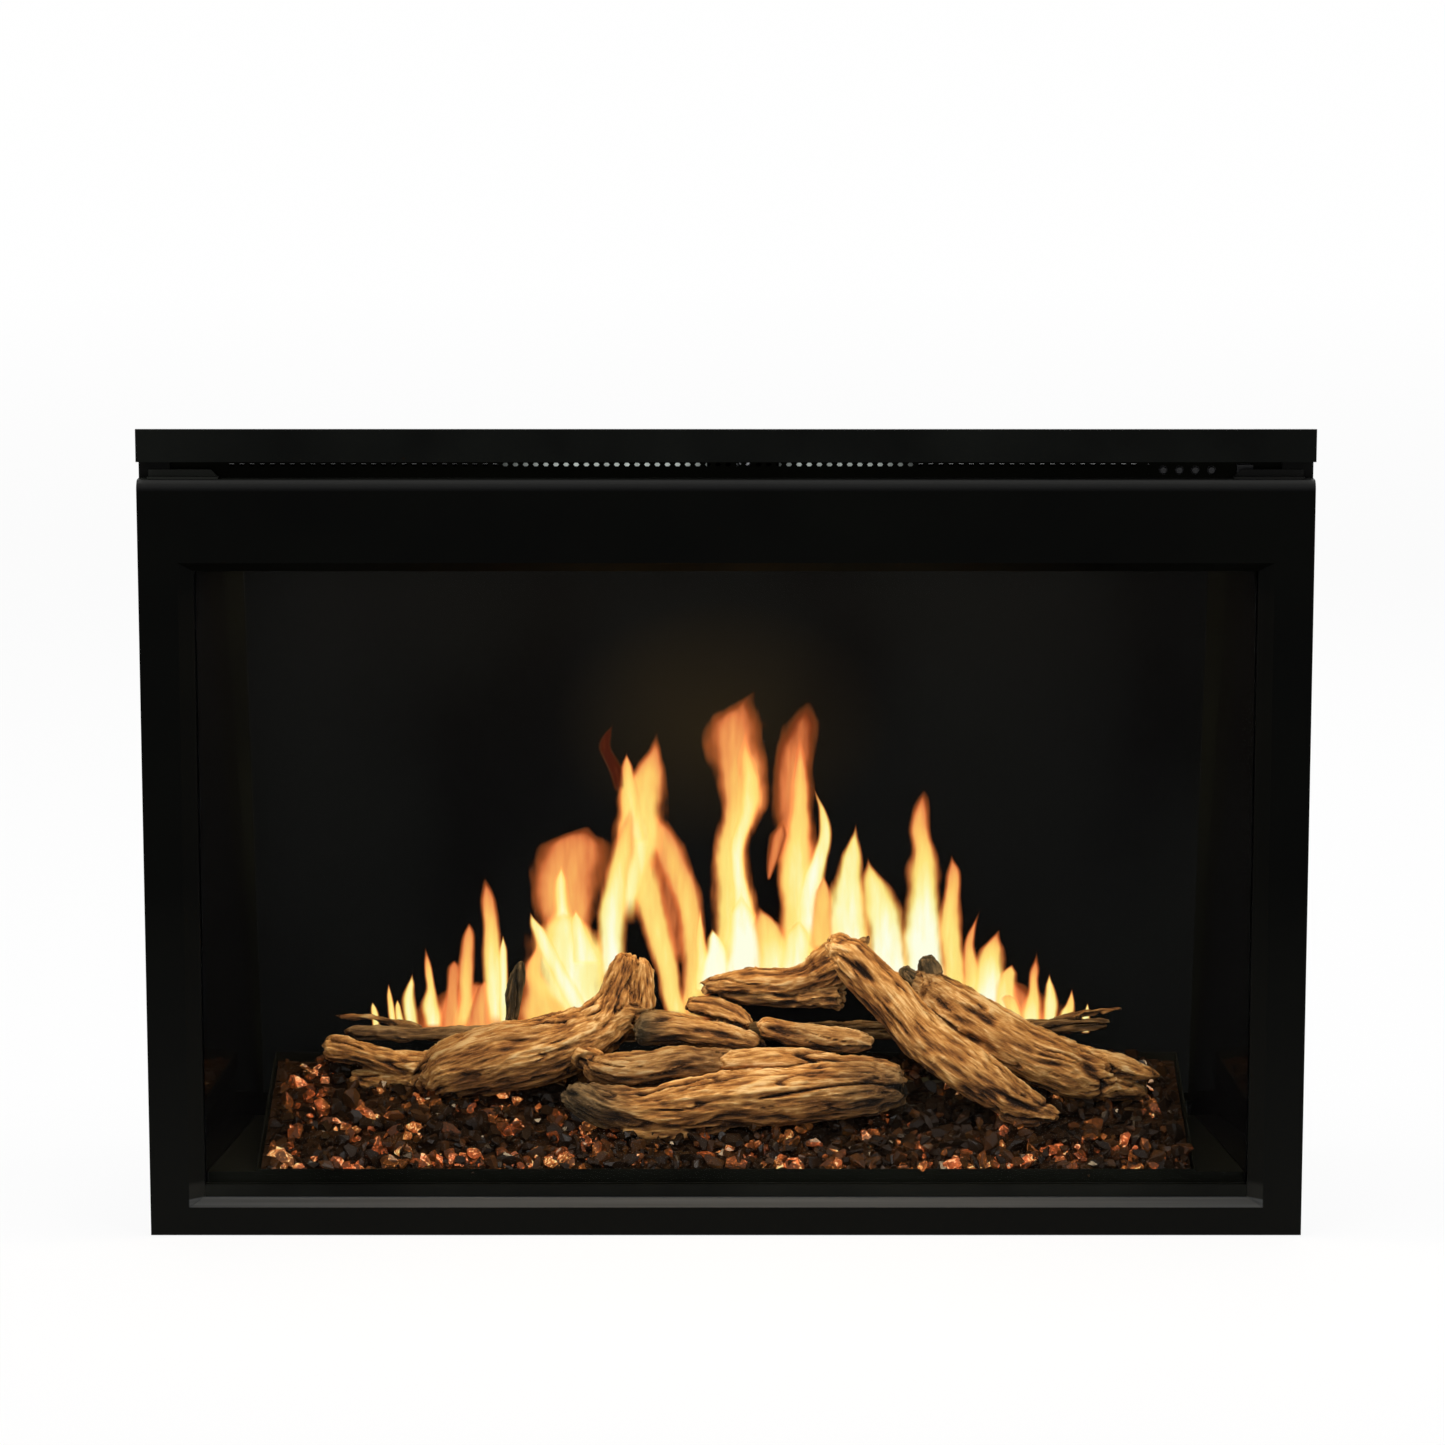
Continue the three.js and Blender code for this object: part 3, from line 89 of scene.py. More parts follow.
class Nodes:
    """The nodes of a material or of the world, and short ways to add and join them."""

    def __init__(self, owner):
        owner.use_nodes = True
        self.tree = owner.node_tree

    def feed(self, socket, value):
        """Joins an output to a socket, or gives the socket a plain value."""
        if isinstance(value, bpy.types.NodeSocket):
            self.tree.links.new(value, socket)
        else:
            socket.default_value = value

    def add(self, kind, inputs=None, **settings):
        node = self.tree.nodes.new(kind)
        for key, value in settings.items():
            setattr(node, key, value)
        for key, value in (inputs or {}).items():
            self.feed(node.inputs[key], value)
        return node

    def mapped(self, at, scale, turn=(0, 0, 0), shift=(0, 0, 0)):
        return self.add("ShaderNodeMapping", {"Vector": at, "Scale": scale, "Rotation": turn,
                                              "Location": shift}).outputs[0]

    def place(self, scale=(1, 1, 1), turn=(0, 0, 0), shift=(0, 0, 0)):
        return self.mapped(self.add("ShaderNodeTexCoord").outputs["Object"], scale, turn, shift)

    def axes(self):
        return self.add("ShaderNodeSeparateXYZ", {"Vector": self.place()}).outputs

    def attribute(self, name, output="Fac"):
        return self.add("ShaderNodeAttribute", attribute_name=name).outputs[output]

    def noise(self, at, scale, detail, rough=0.5):
        return self.add("ShaderNodeTexNoise", {"Vector": at, "Scale": scale, "Detail": detail,
                                               "Roughness": rough}).outputs["Fac"]

    def ramp(self, value, stops):
        node = self.add("ShaderNodeValToRGB", {"Fac": value})
        band = node.color_ramp
        while len(band.elements) < len(stops):
            band.elements.new(0.5)
        for element, (place, color) in zip(band.elements, stops):
            element.position = place
            element.color = (*color, 1)
        return node.outputs["Color"]

    def span(self, value, low, high, out_low=0.0, out_high=1.0, **settings):
        return self.add("ShaderNodeMapRange", {"Value": value, "From Min": low, "From Max": high,
                                               "To Min": out_low, "To Max": out_high}, **settings).outputs[0]

    def spread(self, value, out_low, out_high):
        """Noise, which keeps to the middle of its range, stretched to another range."""
        return self.span(value, 0.3, 0.7, out_low, out_high)

    def fade(self, value, start, stop):
        return self.span(value, start, stop, interpolation_type='SMOOTHSTEP')

    def calc(self, kind, first, *others):
        for other in others:
            first = self.add("ShaderNodeMath", {0: first, 1: other}, operation=kind).outputs[0]
        return first

    def plus(self, *values):
        return self.calc('ADD', *values)

    def times(self, *values):
        return self.calc('MULTIPLY', *values)

    def band(self, value, start, full, last, end):
        """1 from full to last, and 0 before start and after end."""
        return self.times(self.span(value, start, full), self.span(value, end, last))

    def blend(self, amount, first, second, kind='MIX'):
        node = self.add("ShaderNodeMix", {0: amount, 6: first, 7: second}, data_type='RGBA', blend_type=kind)
        return node.outputs[2]

    def seen(self):
        """1 for what the camera sees by itself, in a mirror or through glass, and 0 for other light."""
        rays = self.add("ShaderNodeLightPath").outputs
        return self.calc('MAXIMUM', rays["Is Camera Ray"], rays["Is Glossy Ray"], rays["Is Transmission Ray"])


class Finish(Nodes):
    """A procedural material, built round its Principled shader."""

    def __init__(self, name, color, roughness, metallic=0.0, specular=0.5):
        self.material = bpy.data.materials.new(name)
        super().__init__(self.material)
        self.shader = self.tree.nodes["Principled BSDF"]
        self.set("Base Color", (*color, 1))
        self.set("Roughness", roughness)
        self.set("Metallic", metallic)
        self.set("Specular IOR Level", specular)

    def set(self, socket, value):
        self.feed(self.shader.inputs[socket], value)

    def bump(self, height, strength, distance):
        node = self.add("ShaderNodeBump", {"Height": height, "Strength": strength, "Distance": distance})
        self.set("Normal", node.outputs[0])

    def surface(self, shader):
        self.feed(self.tree.nodes["Material Output"].inputs["Surface"], shader.outputs[0])


def shaded(color, share):
    return tuple(min(1.0, channel * share) for channel in color)


def powder_coat(name, color, roughness, specular, painted_highlights=False):
    """Painted steel: a fine orange peel, dust that lightens it in soft patches, and painted edge highlights
    when asked.
    """
    f = Finish(name, color, roughness, 0.0, specular)
    patches = f.noise(f.place(), 9, 4)
    paint = f.ramp(patches, [(0.35, shaded(color, 0.7)), (0.7, shaded(color, 1.6))])
    # the surround's lip, hooks, bevel and sill get painted highlights and a painted reflection
    if painted_highlights:
        paint = painted_edge_highlights(f, paint, color)
    f.set("Base Color", paint)
    f.set("Roughness", f.span(patches, 0.3, 0.75, roughness - 0.05, roughness + 0.08))
    f.bump(f.noise(f.place(), 1400, 2), 0.12, 0.0004)
    return f.material


def painted_edge_highlights(f, paint, color):
    """Painted highlights and a painted reflection on the surround: its rolled lip, its hooks, the bevel over
    its sill and the band above it are lightened to greys that stand for light, and it lightens towards the
    bottom.
    """
    lip_foot, lip_top = 0.6195, 0.6285
    axes = f.axes()
    x, z = axes["X"], axes["Z"]
    opening = f.band(x, -0.4435, -0.4425, 0.4425, 0.4435)
    bevel = f.times(f.band(z, 0.0242, 0.0250, 0.0308, 0.0318), opening)
    over_bevel = f.times(f.band(z, 0.0312, 0.0320, 0.042, 0.046), opening)
    # painted highlight: the bevel's sheen painted as a streaked grey
    satin = f.ramp(f.noise(f.place((3, 60, 400)), 1.0, 3), [
        (0.3, (0.041, 0.044, 0.046)), (0.7, (0.063, 0.068, 0.072))])
    # painted highlight along the rolled lip, brightest at its top
    lip = f.ramp(f.span(z, lip_foot, lip_top), [
        (0.0, color), (0.2, (0.004, 0.004, 0.004)), (0.4, (0.011, 0.011, 0.011)),
        (0.66, (0.021, 0.021, 0.020)), (0.88, (0.056, 0.056, 0.054))])
    # painted highlights on the hooks, lighter on the left one
    hooks = f.ramp(f.span(x, -0.45, 0.45), [(0.2, (0.022, 0.023, 0.020)), (0.8, (0.012, 0.012, 0.011))])
    # painted reflection: lighter towards the bottom
    paint = f.blend(f.span(z, 0.30, 0.0), paint, (0.0045, 0.0047, 0.0040, 1))
    # painted highlight on the band over the bevel
    paint = f.blend(over_bevel, paint, (0.0130, 0.0134, 0.0122, 1))
    paint = f.blend(bevel, paint, satin)
    paint = f.blend(f.span(z, lip_foot, lip_foot + 0.0005), paint, lip)
    return f.blend(f.span(z, lip_top - 0.0003, lip_top), paint, hooks)


def slot_painted_shade(f):
    """Where the zinc sheet is coloured black as painted shade: behind the outlet slot and its holes, inside
    the side panels, in the seam under the cover's flange and on the rear panel.
    """
    axes = f.axes()
    inside = f.span(f.calc('ABSOLUTE', axes["X"], 0.0), 0.45085, 0.4507)
    behind_slot = f.times(inside, f.span(axes["Y"], FRONT + 0.1290, FRONT + 0.1287))
    flange_edge = f.span(axes["Y"], FRONT + 0.0268, FRONT + 0.0264)
    slot = f.times(f.band(axes["Z"], 0.6250, 0.6253, 0.6542, 0.6546),
                   f.calc('MAXIMUM', behind_slot, flange_edge))
    rear = f.times(f.band(axes["Y"], FRONT + 0.297, FRONT + 0.298, FRONT + 0.3041, FRONT + 0.3044), inside,
                   f.span(axes["Z"], 0.6225, 0.6215))
    seam = f.times(f.band(axes["Z"], 0.6250, 0.6253, 0.6272, 0.6275), inside,
                   f.span(axes["Y"], FRONT + 0.1374, FRONT + 0.1370))
    return f.calc('MAXIMUM', slot, rear, seam)


def galvanised(name):
    """Zinc-coated sheet: spangle cells of slightly different greys, long faint roll marks, and black painted
    shade where it lies behind the outlet slot.
    """
    f = Finish(name, (0.3, 0.31, 0.32), 0.42, 0.85, 0.04)
    cells = f.add("ShaderNodeTexVoronoi", {"Vector": f.place(), "Scale": 95.0}).outputs["Color"]
    spangle = f.add("ShaderNodeSeparateColor", {"Color": cells}).outputs[0]
    marks = f.noise(f.place((2, 2, 160)), 1.0, 4)
    stains = f.span(f.noise(f.place(), 6, 5), 0.45, 0.75)
    grey = f.ramp(spangle, [(0.0, (0.26, 0.27, 0.28)), (0.55, (0.30, 0.31, 0.32)), (1.0, (0.35, 0.36, 0.37))])
    # black painted shade over the zinc where it lies behind the slot and its holes
    painted = slot_painted_shade(f)
    f.set("Base Color", f.blend(painted, f.blend(stains, grey, (0.25, 0.255, 0.26, 1)),
                                (0.0022, 0.0022, 0.0018, 1)))
    f.set("Metallic", f.span(painted, 0, 1, 0.85, 0.0))
    f.set("Roughness", f.plus(f.span(spangle, 0, 1, 0.32, 0.46), f.spread(marks, -0.04, 0.05)))
    f.bump(marks, 0.05, 0.0004)
    return f.material


def brushed(name, color, roughness, stretch):
    """Bare metal with a drawn grain."""
    f = Finish(name, color, roughness, 1.0)
    grain = f.noise(f.place(stretch), 1.0, 4)
    f.set("Base Color", f.ramp(grain, [(0.3, shaded(color, 0.75)), (0.7, shaded(color, 1.15))]))
    f.set("Roughness", f.spread(grain, roughness - 0.08, roughness + 0.1))
    f.bump(grain, 0.1, 0.0003)
    return f.material


def aluminium_fins_painted_light(name):
    """Aluminium fins with painted light: an emission that stands for the light seen on them through the
    grille holes, fading towards the ends of each lit stretch.
    """
    f = Finish(name, (0.002, 0.002, 0.002), 0.6, 0.0, 0.02)
    x = f.axes()["X"]
    left = f.band(x, -0.190, -0.130, -0.035, -0.010)
    right = f.times(f.band(x, 0.040, 0.060, 0.120, 0.158), 0.75)
    flicker = f.spread(f.noise(f.place(), 160, 2), 0.6, 1.2)
    f.set("Emission Color", (0.92, 1.0, 0.94, 1))
    f.set("Emission Strength", f.times(f.plus(left, right), flicker, 0.42))
    return f.material


def gloss_enamel(name):
    """Glass-smooth black enamel with a slow waviness, as pressed sheet has."""
    f = Finish(name, (0.0016, 0.0016, 0.0018), 0.07, 0.0, 0.3)
    f.bump(f.noise(f.place(), 7, 2), 0.12, 0.003)
    f.set("Roughness", f.span(f.noise(f.place(), 30, 4), 0.35, 0.7, 0.05, 0.12))
    return f.material


def display_face(name):
    """The dark face of the flame display, with soft slanting folds and a faint glow over the flames."""
    f = Finish(name, (0.0010, 0.0010, 0.0010), 0.3, 0.0, 0.01)
    folds = f.noise(f.place((2.2, 1, 1.3), (0, math.radians(38), 0)), 2.3, 2, 0.4)
    haze = f.ramp(folds, [(0.38, (0.0006, 0.0006, 0.0006)), (0.5, (0.0026, 0.0028, 0.0025)),
                          (0.62, (0.0036, 0.0038, 0.0034))])
    over_flames = f.place((7, 0, 9), shift=(0.035, 0, -3.6))
    smoke = f.add("ShaderNodeTexGradient", {"Vector": over_flames}, gradient_type='SPHERICAL').outputs["Fac"]
    smoke = f.times(smoke, f.spread(folds, 0.5, 1.5))
    f.set("Emission Color", f.blend(smoke, haze, (0.020, 0.013, 0.005, 1)))
    f.set("Emission Strength", 0.8)
    f.bump(f.noise(f.place(), 900, 1), 0.02, 0.0002)
    return f.material


def clear_glass(name):
    """Coated glass: seen through, with a weak reflection that grows at the edge-on angles."""
    f = Finish(name, (0.2, 0.21, 0.22), 0.02)
    f.tree.nodes.remove(f.shader)
    edge_on = f.add("ShaderNodeFresnel", {"IOR": 1.45}).outputs[0]
    amount = f.times(edge_on, f.spread(f.noise(f.place(), 5, 3), 0.018, 0.03))
    through = f.add("ShaderNodeBsdfTransparent", {"Color": (0.97, 0.975, 0.97, 1)}).outputs[0]
    gloss = f.add("ShaderNodeBsdfGlossy", {"Color": (1, 1, 1, 1), "Roughness": 0.02}).outputs[0]
    f.surface(f.add("ShaderNodeMixShader", {0: amount, 1: through, 2: gloss}))
    return f.material


def moulded(name, color):
    """Moulded plastic: a fine spark texture."""
    f = Finish(name, color, 0.5, 0.0, 0.4)
    f.bump(f.noise(f.place(), 2200, 2), 0.25, 0.0003)
    patches = f.noise(f.place(), 60, 3)
    f.set("Base Color", f.ramp(patches, [(0.3, shaded(color, 0.8)), (0.7, shaded(color, 1.3))]))
    return f.material


def solder_mask(name):
    """Green board with paler lines between its tracks."""
    f = Finish(name, (0.02, 0.12, 0.045), 0.35)
    bricks = f.add("ShaderNodeTexBrick", {"Vector": f.place((1, 0, 1)), "Scale": 60.0, "Mortar Size": 0.03,
                                          "Color1": (0.012, 0.085, 0.03, 1), "Color2": (0.02, 0.13, 0.05, 1),
                                          "Mortar": (0.03, 0.2, 0.08, 1)})
    f.set("Base Color", bricks.outputs["Color"])
    f.bump(bricks.outputs["Fac"], 0.2, 0.0003)
    return f.material


def laminated(name):
    """Motor steel: thin stacked sheets, seen as lines along the axle."""
    f = Finish(name, (0.28, 0.29, 0.3), 0.4, 1.0)
    layers = f.add("ShaderNodeTexWave", {"Vector": f.place(), "Scale": 330.0, "Distortion": 0.6},
                   bands_direction='X').outputs["Fac"]
    f.set("Base Color", f.ramp(layers, [(0.0, (0.12, 0.125, 0.13)), (0.6, (0.32, 0.33, 0.34))]))
    f.bump(layers, 0.3, 0.0003)
    return f.material


def weathered_wood(name):
    """Driftwood: pale ridges, partly worn and partly painted highlight, golden flanks, dark cracks along the
    grain, partly the wood's tone and partly painted shade, painted shade on the undersides, and charred ends.
    """
    f = Finish(name, (0.3, 0.17, 0.07), 0.78, 0.0, 0.25)
    grain = f.attribute("grain", "Vector")
    fibre = f.noise(f.mapped(grain, (75, 620, 620)), 1.0, 5, 0.65)
    streak = f.noise(f.mapped(grain, (16, 150, 150)), 1.0, 4, 0.6)
    patch = f.noise(f.mapped(grain, (14, 24, 24)), 1.0, 3)
    height = f.plus(f.attribute("groove_and_painted_shade"), f.spread(fibre, -0.20, 0.20), f.spread(streak, -0.16, 0.14))
    # the colour follows the noted height, which carries painted highlight and painted shade
    wood = f.ramp(height, [(0.14, (0.017, 0.007, 0.003)), (0.33, (0.090, 0.035, 0.010)),
                           (0.50, (0.255, 0.105, 0.027)), (0.66, (0.450, 0.210, 0.056)),
                           (0.82, (0.670, 0.370, 0.125)), (0.97, (0.880, 0.630, 0.320))])
    shade = f.ramp(patch, [(0.30, (0.66, 0.58, 0.50)), (0.48, (0.95, 0.92, 0.86)), (0.66, (1.0, 1.0, 1.0))])
    burnt = f.ramp(height, [(0.25, (0.006, 0.005, 0.003)), (0.62, (0.045, 0.032, 0.014)),
                            (0.9, (0.17, 0.11, 0.05))])
    toned = f.blend(0.85, wood, shade, 'MULTIPLY')
    f.set("Base Color", f.blend(f.attribute("char"), toned, burnt))
    f.set("Roughness", f.span(height, 0.2, 0.9, 0.9, 0.6))
    f.bump(f.plus(fibre, streak), 0.6, 0.0016)
    return f.material


def ember_glass(name):
    """Crushed glass: near black, amber or rosy by chunk, with lit facets and fine sparks inside."""
    f = Finish(name, (0.01, 0.008, 0.007), 0.12, 0.0, 0.12)
    glow = f.attribute("glow")
    facet = f.span(f.attribute("facet"), 0, 1, 0.35, 1.05)
    cloud = f.spread(f.noise(f.place(), 170, 2), -0.36, 0.16)
    sparks = f.span(f.noise(f.place(), 430, 2), 0.54, 0.68, 0.0, 0.62)
    f.set("Base Color", f.ramp(glow, [(0.0, (0.013, 0.008, 0.005)), (0.3, (0.038, 0.018, 0.008)),
                                      (0.6, (0.085, 0.028, 0.010)), (0.9, (0.16, 0.052, 0.022)),
                                      (1.0, (0.22, 0.10, 0.055))]))
    light = f.ramp(f.times(glow, f.plus(facet, cloud, sparks)), [
        (0.12, (0.0, 0.0, 0.0)), (0.30, (0.016, 0.006, 0.002)), (0.52, (0.115, 0.030, 0.008)),
        (0.72, (0.42, 0.100, 0.030)), (0.90, (0.92, 0.31, 0.110)), (1.0, (1.0, 0.72, 0.44))])
    hue = f.ramp(f.noise(f.place(), 38, 1), [(0.42, (1.0, 0.72, 0.55)), (0.58, (0.85, 1.0, 0.7))])
    f.set("Emission Color", f.blend(1.0, light, hue, 'MULTIPLY'))
    f.set("Emission Strength", 1.0)
    return f.material


def fire_light(name):
    """The picture of a flame: warmth sets its colour, and it reddens and fades at its edges, foot and tip."""
    f = Finish(name, (0, 0, 0), 1.0, 0.0, 0.0)
    spot = f.add("ShaderNodeSeparateXYZ", {"Vector": f.add("ShaderNodeUVMap", uv_map="UVMap").outputs[0]})
    across, along = spot.outputs["X"], spot.outputs["Y"]
    warmth = f.attribute("warmth")
    lick = f.noise(f.place((130, 1, 20)), 1.0, 3)
    sway = f.noise(f.place((45, 1, 22)), 1.0, 2)
    wander = f.spread(sway, -0.05, 0.05)
    side = f.calc('ABSOLUTE', f.calc('SUBTRACT', across, 0.5), 0.0)
    out = f.plus(side, f.spread(lick, -0.03, 0.03), wander, f.times(f.fade(along, 0.70, 1.02), 0.30))
    tip = f.times(f.fade(f.plus(along, wander), 1.0, 0.82), f.fade(along, 1.0, 0.95))
    body = f.times(f.fade(out, 0.40, 0.18), f.fade(along, 0.0, 0.10), tip)
    rim = f.times(f.calc('POWER', f.times(out, 2.8), 2.0), -0.32)
    shade = f.plus(warmth, rim, f.spread(lick, -0.12, 0.02), f.span(body, 0.0, 1.0, -0.16, -0.02))
    f.set("Emission Color", f.ramp(shade, [
        (0.0, (0.10, 0.012, 0.003)), (0.12, (0.30, 0.060, 0.016)), (0.26, (0.74, 0.200, 0.060)),
        (0.40, (0.92, 0.36, 0.100)), (0.54, (1.0, 0.58, 0.140)), (0.70, (1.0, 0.78, 0.210)),
        (0.84, (1.0, 0.93, 0.42)), (0.97, (1.0, 1.0, 0.78))]))
    f.set("Emission Strength", 1.05)
    cover = f.calc('POWER', body, 1.8)
    f.set("Alpha", f.times(cover, f.span(warmth, 0.05, 0.3, 0.45, 1.0)))
    fringe = f.times(f.calc('SUBTRACT', body, cover), f.span(warmth, 0.05, 0.5, 0.1, 1.15))
    red = f.add("ShaderNodeEmission", {"Color": (0.92, 0.22, 0.045, 1), "Strength": fringe}).outputs[0]
    f.surface(f.add("ShaderNodeAddShader", {0: f.shader.outputs[0], 1: red}))
    return f.material


finishes = {
    "black_steel": powder_coat("satin_black_powder_coat", (0.0034, 0.0038, 0.0032), 0.36, 0.03),
    "inner_steel": powder_coat("matt_black_heat_paint", (0.0034, 0.0036, 0.0022), 0.6, 0.02),
    "zinc_steel": galvanised("zinc_coated_sheet"),
    "gloss_lining": gloss_enamel("gloss_black_enamel"),
    "glass": clear_glass("coated_clear_glass"),
    "aluminium": brushed("bare_aluminium", (0.5, 0.51, 0.53), 0.38, (1200, 18, 18)),
    "black_plastic": moulded("moulded_black_plastic", (0.012, 0.012, 0.013)),
    "circuit_board": solder_mask("green_solder_mask"),
    "screen": display_face("dark_display_face"),
    "ember_glass": ember_glass("crushed_dark_glass"),
    "log": weathered_wood("painted_driftwood"),
    "motor_steel": laminated("laminated_motor_steel"),
}
tray_paint = powder_coat("dusty_tray_paint", (0.0052, 0.0056, 0.0038), 0.6, 0.02)
retainer_paint = powder_coat("satin_retainer_paint", (0.0066, 0.0070, 0.0058), 0.4, 0.03)
# the surround's black paint, with its painted edge highlights and painted reflection
trim_paint_and_highlights = powder_coat("black_powder_coat_painted_highlights", (0.0007, 0.0008, 0.0005), 0.36, 0.03, painted_highlights=True)
# the heater fins, which glow with painted light
fins = aluminium_fins_painted_light("fins_with_painted_light")
fire = fire_light("flame_picture_light")
zinc_screw = brushed("plated_screw_steel", (0.5, 0.5, 0.48), 0.35, (60, 60, 60))

own_finishes = {
    "front_trim": trim_paint_and_highlights,
    "trim_hook_left": trim_paint_and_highlights,
    "trim_hook_right": trim_paint_and_highlights,
    "glass_retainer_bottom": retainer_paint,
    "glass_retainer_top": retainer_paint,
    "ember_tray": tray_paint,
    # the heater duct takes the matt black paint as painted shade, so it reads dark through the grille holes
    "heater_duct": finishes["inner_steel"],
    "heater_element_left": fins,
    "heater_element_right": fins,
}

for part in frame["record"]["subparts"]:
    sheet = nodes[part["node"]].data
    sheet.materials.clear()
    sheet.materials.append(own_finishes.get(part["node"], finishes[part["material_slot"]]))


# Small helpers for modelling

def alone(piece):
    """Makes a piece the active one, and the only one selected."""
    bpy.ops.object.select_all(action='DESELECT')
    bpy.context.view_layer.objects.active = piece
    piece.select_set(True)


def edit(piece):
    alone(piece)
    bpy.ops.object.mode_set(mode='EDIT')


def leave():
    bpy.ops.object.mode_set(mode='OBJECT')


def leave_facing_outwards():
    bpy.ops.mesh.select_all(action='SELECT')
    bpy.ops.mesh.normals_make_consistent(inside=False)
    leave()


def pick(piece, kind, test):
    """Selects only the edges or faces whose middle and way, or middle and normal, pass a test."""
    bpy.ops.mesh.select_mode(type=kind)
    bpy.ops.mesh.select_all(action='DESELECT')
    mesh = bmesh.from_edit_mesh(piece.data)
    if kind == 'FACE':
        for face in mesh.faces:
            face.select_set(bool(test(face.calc_center_median(), face.normal)))
    else:
        for line in mesh.edges:
            start, end = (corner.co for corner in line.verts)
            line.select_set(bool(test((start + end) / 2, (end - start).normalized())))
    bmesh.update_edit_mesh(piece.data)


def apply_modifier(piece, kind, **settings):
    bpy.context.view_layer.objects.active = piece
    modifier = piece.modifiers.new(kind.title(), kind)
    for key, value in settings.items():
        setattr(modifier, key, value)
    bpy.ops.object.modifier_apply(modifier=modifier.name)


def joined(pieces, name):
    """Joins pieces into the first one, with its place in its mesh, under a new name."""
    alone(pieces[0])
    for piece in pieces[1:]:
        piece.select_set(True)
    bpy.ops.object.transform_apply(location=True, rotation=True, scale=True)
    if len(pieces) > 1:
        bpy.ops.object.join()
    pieces[0].name = name
    return pieces[0]


def gathered(name, copies):
    """One mesh made of copies: each is a model, its matrix and its values for face attributes."""
    corners, faces, values = [], [], {}
    for model, place, marks in copies:
        start = len(corners)
        corners.extend(place @ vertex.co for vertex in model.data.vertices)
        for polygon in model.data.polygons:
            faces.append([start + corner for corner in polygon.vertices])
            for key, value in marks.items():
                values.setdefault(key, []).append(value() if callable(value) else value)
    mesh = bpy.data.meshes.new(name)
    mesh.from_pydata(corners, [], faces)
    for key, row in values.items():
        mesh.attributes.new(key, 'FLOAT', 'FACE').data.foreach_set("value", row)
    mesh.update()
    piece = bpy.data.objects.new(name, mesh)
    scene.collection.objects.link(piece)
    return piece


def finished(piece, body, material, smooth=None):
    piece.data.materials.clear()
    piece.data.materials.append(material)
    if smooth is not None:
        alone(piece)
        bpy.ops.object.shade_smooth_by_angle(angle=math.radians(smooth))
        piece.select_set(False)
    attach(piece, body)


# Camera, stage and lamps

def set_camera():
    data = bpy.data.cameras.new("photo_camera")
    data.lens = LENS
    data.sensor_width = SENSOR
    data.shift_x = SIDE_SHIFT / PHOTO_WIDE
    camera = bpy.data.objects.new("photo_camera", data)
    camera.location = CAMERA_PLACE
    camera.rotation_euler = (math.pi / 2 - CAMERA_TILT, 0, 0)
    scene.collection.objects.link(camera)
    scene.camera = camera


def set_floor():
    """A wide pale floor just under the part, which looks white farther out."""
    bpy.ops.mesh.primitive_circle_add(vertices=64, radius=60, fill_type='NGON', location=(0, 0, -0.2 * MM))
    floor = bpy.context.object
    floor.name = "studio_floor"
    f = Finish("pale_studio_floor", (0.9, 0.9, 0.9), 0.9, 0.0, 0.1)
    white = f.add("ShaderNodeEmission", {"Color": (1, 1, 1, 1), "Strength": 1.0}).outputs[0]
    far = f.add("ShaderNodeVectorMath", {0: f.place()}, operation='LENGTH').outputs["Value"]
    amount = f.times(f.seen(), f.span(far, 2.0, 9.0, 0.9, 0.995))
    f.surface(f.add("ShaderNodeMixShader", {0: amount, 1: f.shader.outputs[0], 2: white}))
    floor.data.materials.append(f.material)


def set_world():
    """Even light from all sides at half strength, which looks white where it is seen."""
    world = bpy.data.worlds.new("studio_world")
    sky = Nodes(world)
    light = sky.tree.nodes["Background"].inputs
    light["Color"].default_value = (1, 1, 1, 1)
    sky.feed(light["Strength"], sky.span(sky.seen(), 0.0, 1.0, 0.5, 1.0))
    scene.world = world


def set_lamp(name, place, target, size, power, color=(1, 1, 1)):
    data = bpy.data.lights.new(name, 'AREA')
    data.shape = 'RECTANGLE'
    data.size, data.size_y = size
    data.energy = power
    data.color = color
    lamp = bpy.data.objects.new(name, data)
    lamp.location = place
    lamp.rotation_euler = (Vector(target) - Vector(place)).to_track_quat('-Z', 'Y').to_euler()
    scene.collection.objects.link(lamp)


MIDDLE = (0, 0, 0.35)
WARM_LIGHT = (1.0, 0.74, 0.46)

set_camera()
set_floor()
set_world()
set_lamp("overhead_softbox", (0, 0.1, 2.6), (0, 0.1, 0), (2.4, 1.2), 34)
set_lamp("left_softbox", (-2.2, -2.4, 1.9), MIDDLE, (1.2, 1.2), 16)
set_lamp("right_softbox", (2.2, -2.4, 1.9), MIDDLE, (1.2, 1.2), 12)
set_lamp("rear_softbox", (0.6, 2.8, 1.9), MIDDLE, (1.4, 1.2), 18)
set_lamp("down_light", (0, FRONT + 0.034, 0.546), (0, FRONT + 0.125, 0.06), (0.74, 0.012), 2.6, WARM_LIGHT)
